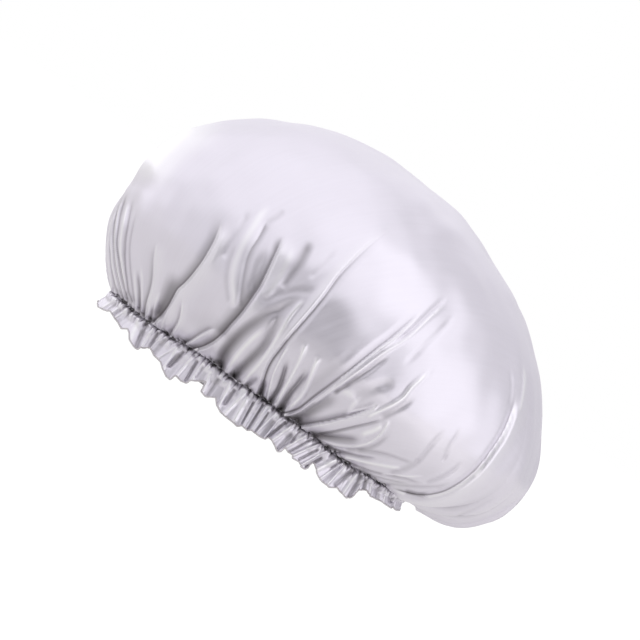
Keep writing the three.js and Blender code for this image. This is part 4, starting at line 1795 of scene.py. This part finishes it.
@dataclass
class Casing:
    """The tape on the inside and the elastic that runs in it."""

    opening: HeadOpening
    columns: int = 384
    tape: float = 0.4 * MM
    near_cloth: float = 2.83 * MM
    near_head: float = 0.2 * MM
    wall: float = 0.8 * MM
    elastic_thick: float = 1.0 * MM
    elastic_tall: float = 4.5 * MM
    elastic_offset: float = 0.7 * MM
    elastic_growth: float = 1.3 * MM
    overlap: float = 0.0218

    def build_tape(self, finish: Material) -> None:
        """Makes the tape, sewn to the cloth along both edges.

        Args:
            finish: The tape's finish.
        """
        tall = self.opening.band_height
        lower = [
            (self.near_cloth, 0.0),
            (self.near_cloth, self.wall * 0.55),
            (self.near_cloth - 0.35 * MM, self.wall * 0.95),
            (self.near_head + 0.45 * MM, self.wall * 1.02),
            (self.near_head, self.wall * 1.45),
            (self.near_head - 0.02 * MM, tall * 0.35),
        ]
        line = np.array(lower + [(offset, tall - z) for offset, z in reversed(lower)])
        along = np.gradient(line, axis=0)
        along /= np.linalg.norm(along, axis=1, keepdims=True)
        side = np.stack([along[:, 1], -along[:, 0]], 1) * self.tape / 2
        section = np.concatenate([line + side, (line - side)[::-1]])
        turn = np.arange(self.columns) / self.columns
        wobble = 0.05 * MM * np.sin(FULL_TURN * 37 * turn)
        rings = np.stack(
            [self.opening.points(turn, offset + wobble, self.opening.band_foot + z) for offset, z in section], 1
        )
        faces = tube_faces(self.columns, len(section), True)
        piece = mesh_piece("casing_cloth", rings.reshape(-1, 3), faces)
        dress(piece, finish)
        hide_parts("casing_tape")
        log.info("casing tape: %d faces", len(faces))

    def build_elastic(self, finish: Material) -> None:
        """Makes the elastic, a ribbed strip lapped over its own start at the nape.

        Args:
            finish: The elastic's finish.
        """
        steps = 420
        lap = np.linspace(0.0, 1.0, steps) * (1 + self.overlap)
        turn = lap + (1 - self.overlap) / 2
        inner = self.elastic_offset + self.elastic_growth * lap
        low = self.opening.band_foot + (self.opening.band_height - self.elastic_tall) / 2
        ribs, groove = 6, 0.12 * MM
        tall = [self.elastic_tall * k / (2 * ribs) for k in range(2 * ribs + 1)]
        outer = [(self.elastic_thick - groove * (k % 2), z) for k, z in enumerate(tall)]
        section = outer + [(groove * (k % 2), z) for k, z in enumerate(tall)][::-1]
        rings = np.stack([self.opening.points(turn, inner + depth, low + z) for depth, z in section], 1)
        faces = tube_faces(steps, len(section), False)
        piece = mesh_piece("elastic_strip", rings.reshape(-1, 3), faces)
        dress(piece, finish)
        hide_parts("elastic_band")
        log.info("elastic: %d faces", len(faces))


@dataclass
class Stitching:
    """Rows of stitches that hold the casing and draw up the gathers."""

    opening: HeadOpening
    thread: float = 0.16 * MM
    arch: float = 0.12 * MM

    def add_row(
        self, name: str, offset: float, z: float, stitches: int, fill: float, finish: Material
    ) -> None:
        """Makes one row of stitches round the band.

        Args:
            name: The piece's name.
            offset: How far outside the opening the thread lies.
            z: Height of the row.
            stitches: Number of stitches.
            fill: Share of each step that shows as thread.
            finish: The thread's finish.
        """
        points: list[Array] = []
        faces: list[tuple[int, ...]] = []
        sides, rings = 6, 5
        share = np.linspace(-0.5, 0.5, rings)
        bow = 1 - (2 * share) ** 2
        for k in range(stitches):
            turn = (k + 0.5 + share * fill) / stitches
            path = self.opening.points(turn, offset + self.arch * bow, z)
            tube = tube_rings(path, self.opening.outward(turn), (self.thread, self.thread * 1.1), sides)
            faces.extend(tube_faces(rings, sides, False, start=k * rings * sides))
            points.append(tube.reshape(-1, 3))
        dress(mesh_piece(name, np.concatenate(points), faces), finish)
        log.info("%s: %d stitches", name, stitches)

    def build(self, finish: Material) -> None:
        """Makes every row.

        Args:
            finish: The thread's finish.
        """
        foot, tall, margin = self.opening.band_foot, self.opening.band_height, 0.35 * MM
        inside = 2.62 * MM - self.thread
        self.add_row("stitches_low", inside, foot + margin, 210, 0.62, finish)
        self.add_row("stitches_high", inside, foot + tall - margin, 210, 0.62, finish)
        self.add_row("stitches_gather", self.opening.cloth_offset - 0.25 * MM, 23.25 * MM, 190, 0.6, finish)


@dataclass(frozen=True)
class Wall:
    """A pale or dark part of the room, in degrees to the picture's right and up it from the line of sight.

    It starts to show at the edge and is at its strength where full, both as cosines of the angle to its middle.
    """

    right: float
    up: float
    edge: float
    full: float
    strength: float


@dataclass
class Studio:
    """Pale floor, a room with pale and dark walls, one soft box, and the camera at the picture's angle."""

    view: PictureView

    def __post_init__(self) -> None:
        """Works out the camera's axes."""
        self.right, self.up, self.back = (Vector(axis) for axis in self.view.axes())
        self.target = Vector(self.view.target)
        self.distance = self.view.distance

    def way(self, right: float, up: float) -> Vector:
        """Finds a direction from the bonnet.

        Args:
            right: Degrees to the picture's right of the line of sight.
            up: Degrees up the picture from it.

        Returns:
            The unit vector.
        """
        a, e = math.radians(right), math.radians(up)
        level = math.cos(e)
        return self.back * (level * math.cos(a)) + self.right * (level * math.sin(a)) + self.up * math.sin(e)

    def add_camera(self) -> None:
        """Places the camera."""
        data = bpy.data.cameras.new("picture_camera")
        data.sensor_width = 36.0
        data.sensor_fit = "HORIZONTAL"
        data.lens = data.sensor_width * self.distance / self.view.field_width
        data.clip_start, data.clip_end = 0.05, 60.0
        camera = bpy.data.objects.new("picture_camera", data)
        axes = Matrix((self.right, self.up, self.back)).transposed()
        camera.matrix_world = Matrix.Translation(self.target + self.back * self.distance) @ axes.to_4x4()
        bpy.context.scene.collection.objects.link(camera)
        bpy.context.scene.camera = camera

    def add_soft_box(
        self, name: str, angles: Pair, distance: float, size: Pair, power: float
    ) -> None:
        """Adds a soft box, placed by angles from the camera's line of sight.

        Args:
            name: The light's name.
            angles: Degrees to the picture's right and up it.
            distance: Metres from the bonnet.
            size: Width and height.
            power: Watts.
        """
        way = self.way(*angles)
        data = bpy.data.lights.new(name, "AREA")
        data.shape = "RECTANGLE"
        data.size, data.size_y = size
        data.energy = power
        lamp = bpy.data.objects.new(name, data)
        place = self.target + way * distance
        lamp.matrix_world = Matrix.Translation(place) @ way.to_track_quat("Z", "Y").to_matrix().to_4x4()
        bpy.context.scene.collection.objects.link(lamp)

    def add_world(self, fill: float, walls: tuple[Wall, ...]) -> None:
        """Clear white behind the bonnet, and a grey room with pale walls round it.

        Args:
            fill: Strength of the light from the room's grey end.
            walls: The pale walls, and the dark ones, whose strength is under the fill.
        """
        world = bpy.data.worlds.new("studio_walls")
        bpy.context.scene.world = world
        board = empty_board(world)
        way = board.add("TexCoord").outputs["Generated"]
        level = None
        for wall in walls:
            toward = board.add("VectorMath", {0: way, 1: self.way(wall.right, wall.up)}, operation="DOT_PRODUCT")
            darker = wall.strength < fill
            ends = (1.0, wall.strength / fill) if darker else (fill, wall.strength)
            share = board.ramp(toward.outputs["Value"], (wall.edge, wall.full), ends)
            join = "MULTIPLY" if darker else "MAXIMUM"
            level = share if level is None else board.math(join, level, share)
        seen = board.add("Background", {"Color": (1.0, 1.0, 1.0, 1.0), "Strength": 1.0})
        lit = board.add("Background", {"Color": (0.98, 0.97, 1.0, 1.0), "Strength": level})
        ray = board.add("LightPath").outputs["Is Camera Ray"]
        board.add("OutputWorld", {0: board.mixed(ray, lit.outputs[0], seen.outputs[0])})

    @staticmethod
    def floor_ramp(
        board: NodeBoard, place: Socket, ways: tuple[tuple[float, float, float], ...],
        reach: Pair, ends: Pair,
    ) -> Socket:
        """A value that changes over the floor.

        Args:
            board: The floor's node tree.
            place: Its coordinates.
            ways: Directions on the floor; the shortest way along any of them counts.
            reach: Where the change starts and ends, in metres.
            ends: The value before and after it.

        Returns:
            The value's socket.
        """
        least = None
        for way in ways:
            run = board.add("VectorMath", {0: place, 1: way}, operation="DOT_PRODUCT").outputs["Value"]
            least = run if least is None else board.math("MINIMUM", least, run)
        return board.ramp(least, reach, ends)

    def add_floor(self) -> None:
        """A white floor that fades to clear white away from the bonnet."""
        size, sunk = 12.0, -0.0006
        corners = np.array([(-size, -size, sunk), (size, -size, sunk), (size, size, sunk), (-size, size, sunk)])
        floor = mesh_piece("studio_floor", corners, [(0, 1, 2, 3)])
        made = bpy.data.materials.new("studio_paper")
        board = empty_board(made)
        place = board.add("TexCoord").outputs["Object"]
        # Painted light: the floor glows to light the bonnet, weaker on the camera side and stronger towards the nape.
        nape = self.floor_ramp(board, place, ((0.3, 1.0, 0.0), (4.2, -1.05, 0.0)), (0.13, 0.24), (0.64, 0.98))
        camera_side = self.floor_ramp(board, place, ((1.0, -1.2, 0.0), (1.0, 1.2, 0.0)), (0.12, 0.26), (1.0, 0.46))
        shaded = board.math("MULTIPLY", nape, camera_side)
        paper = board.add("BsdfDiffuse", {"Color": (0.16, 0.16, 0.16, 1.0)})
        painted_bounce = board.add("Emission", {"Color": (1.0, 0.985, 0.975, 1.0), "Strength": shaded})
        lit = board.add("AddShader", {0: paper.outputs[0], 1: painted_bounce.outputs[0]})
        glow = board.add("Emission", {"Strength": 1.1})
        far = board.add("VectorMath", {0: place}, operation="LENGTH").outputs["Value"]
        ray = board.add("LightPath").outputs["Is Camera Ray"]
        amount = board.math("MULTIPLY", board.ramp(far, (0.10, 0.34), (0.90, 1.0)), ray)
        board.add("OutputMaterial", {0: board.mixed(amount, lit.outputs[0], glow.outputs[0])})
        floor.data.materials.append(made)

    def build(self) -> None:
        """Sets up the whole studio."""
        self.add_camera()
        walls = (
            Wall(0, 90, 0.62, 0.92, 1.18), Wall(180, 30, 0.50, 0.90, 0.98), Wall(45, 40, 0.77, 0.90, 1.24),
            Wall(58, -22, 0.76, 0.90, 1.20), Wall(-132, 12, 0.72, 0.86, 1.32), Wall(150, -20, 0.70, 0.95, 0.60),
            Wall(112, 16, 0.78, 0.95, 0.66), Wall(8, 6, 0.86, 0.975, 0.26),
        )
        self.add_world(0.80, walls)
        self.add_floor()
        self.add_soft_box("right_panel", (58, 10), 1.7, (1.2, 2.6), 2.0)
        bpy.context.scene.view_settings.view_transform = "Standard"
        log.info("studio: camera %.1f m away", self.distance)


def main() -> None:
    """Builds the bonnet and its studio in order."""
    logging.basicConfig(level=logging.INFO, format="%(message)s")
    groups = ClothGroups(weave_group(), cloud_group(), tint_group())
    satin = SatinFinish().material(groups)
    hem, tape, knit, thread = (
        PlainClothFinish(*row).material(groups)
        for row in (
            ("rolled_hem", (0.76, 0.74, 0.77), (0.50, 0.46, 0.47), 0.5, 0.0006, 0.00005),
            ("casing_satin", (0.64, 0.62, 0.68), (0.54, 0.52, 0.58), 0.5, 0.0005, 0.00003),
            ("knitted_elastic", (0.88, 0.87, 0.85), (0.78, 0.77, 0.75), 0.8, 0.0004, 0.00008),
            ("sewing_thread", (0.80, 0.79, 0.84), (0.62, 0.60, 0.66), 0.6, 0.0002, 0.00002),
        )
    )
    opening = HeadOpening()
    shape = Fullness(opening)
    gathers = Gathers()
    view = PictureView()
    far_folds = far_side_folds() + seeded_folds(176, 352, 41)
    relief = ClothRelief(shape, gathers, far_folds, SeenRelief(SEEN_FOLDS, view))
    casing = Casing(opening)
    casing.build_tape(tape)
    casing.build_elastic(knit)
    Crown(shape, relief).build(satin)
    Frill(opening, gathers, SeenRelief(SEEN_PLEATS, view)).build(satin, hem)
    Stitching(opening).build(thread)
    Studio(view).build()


if __name__ == "__main__":
    main()
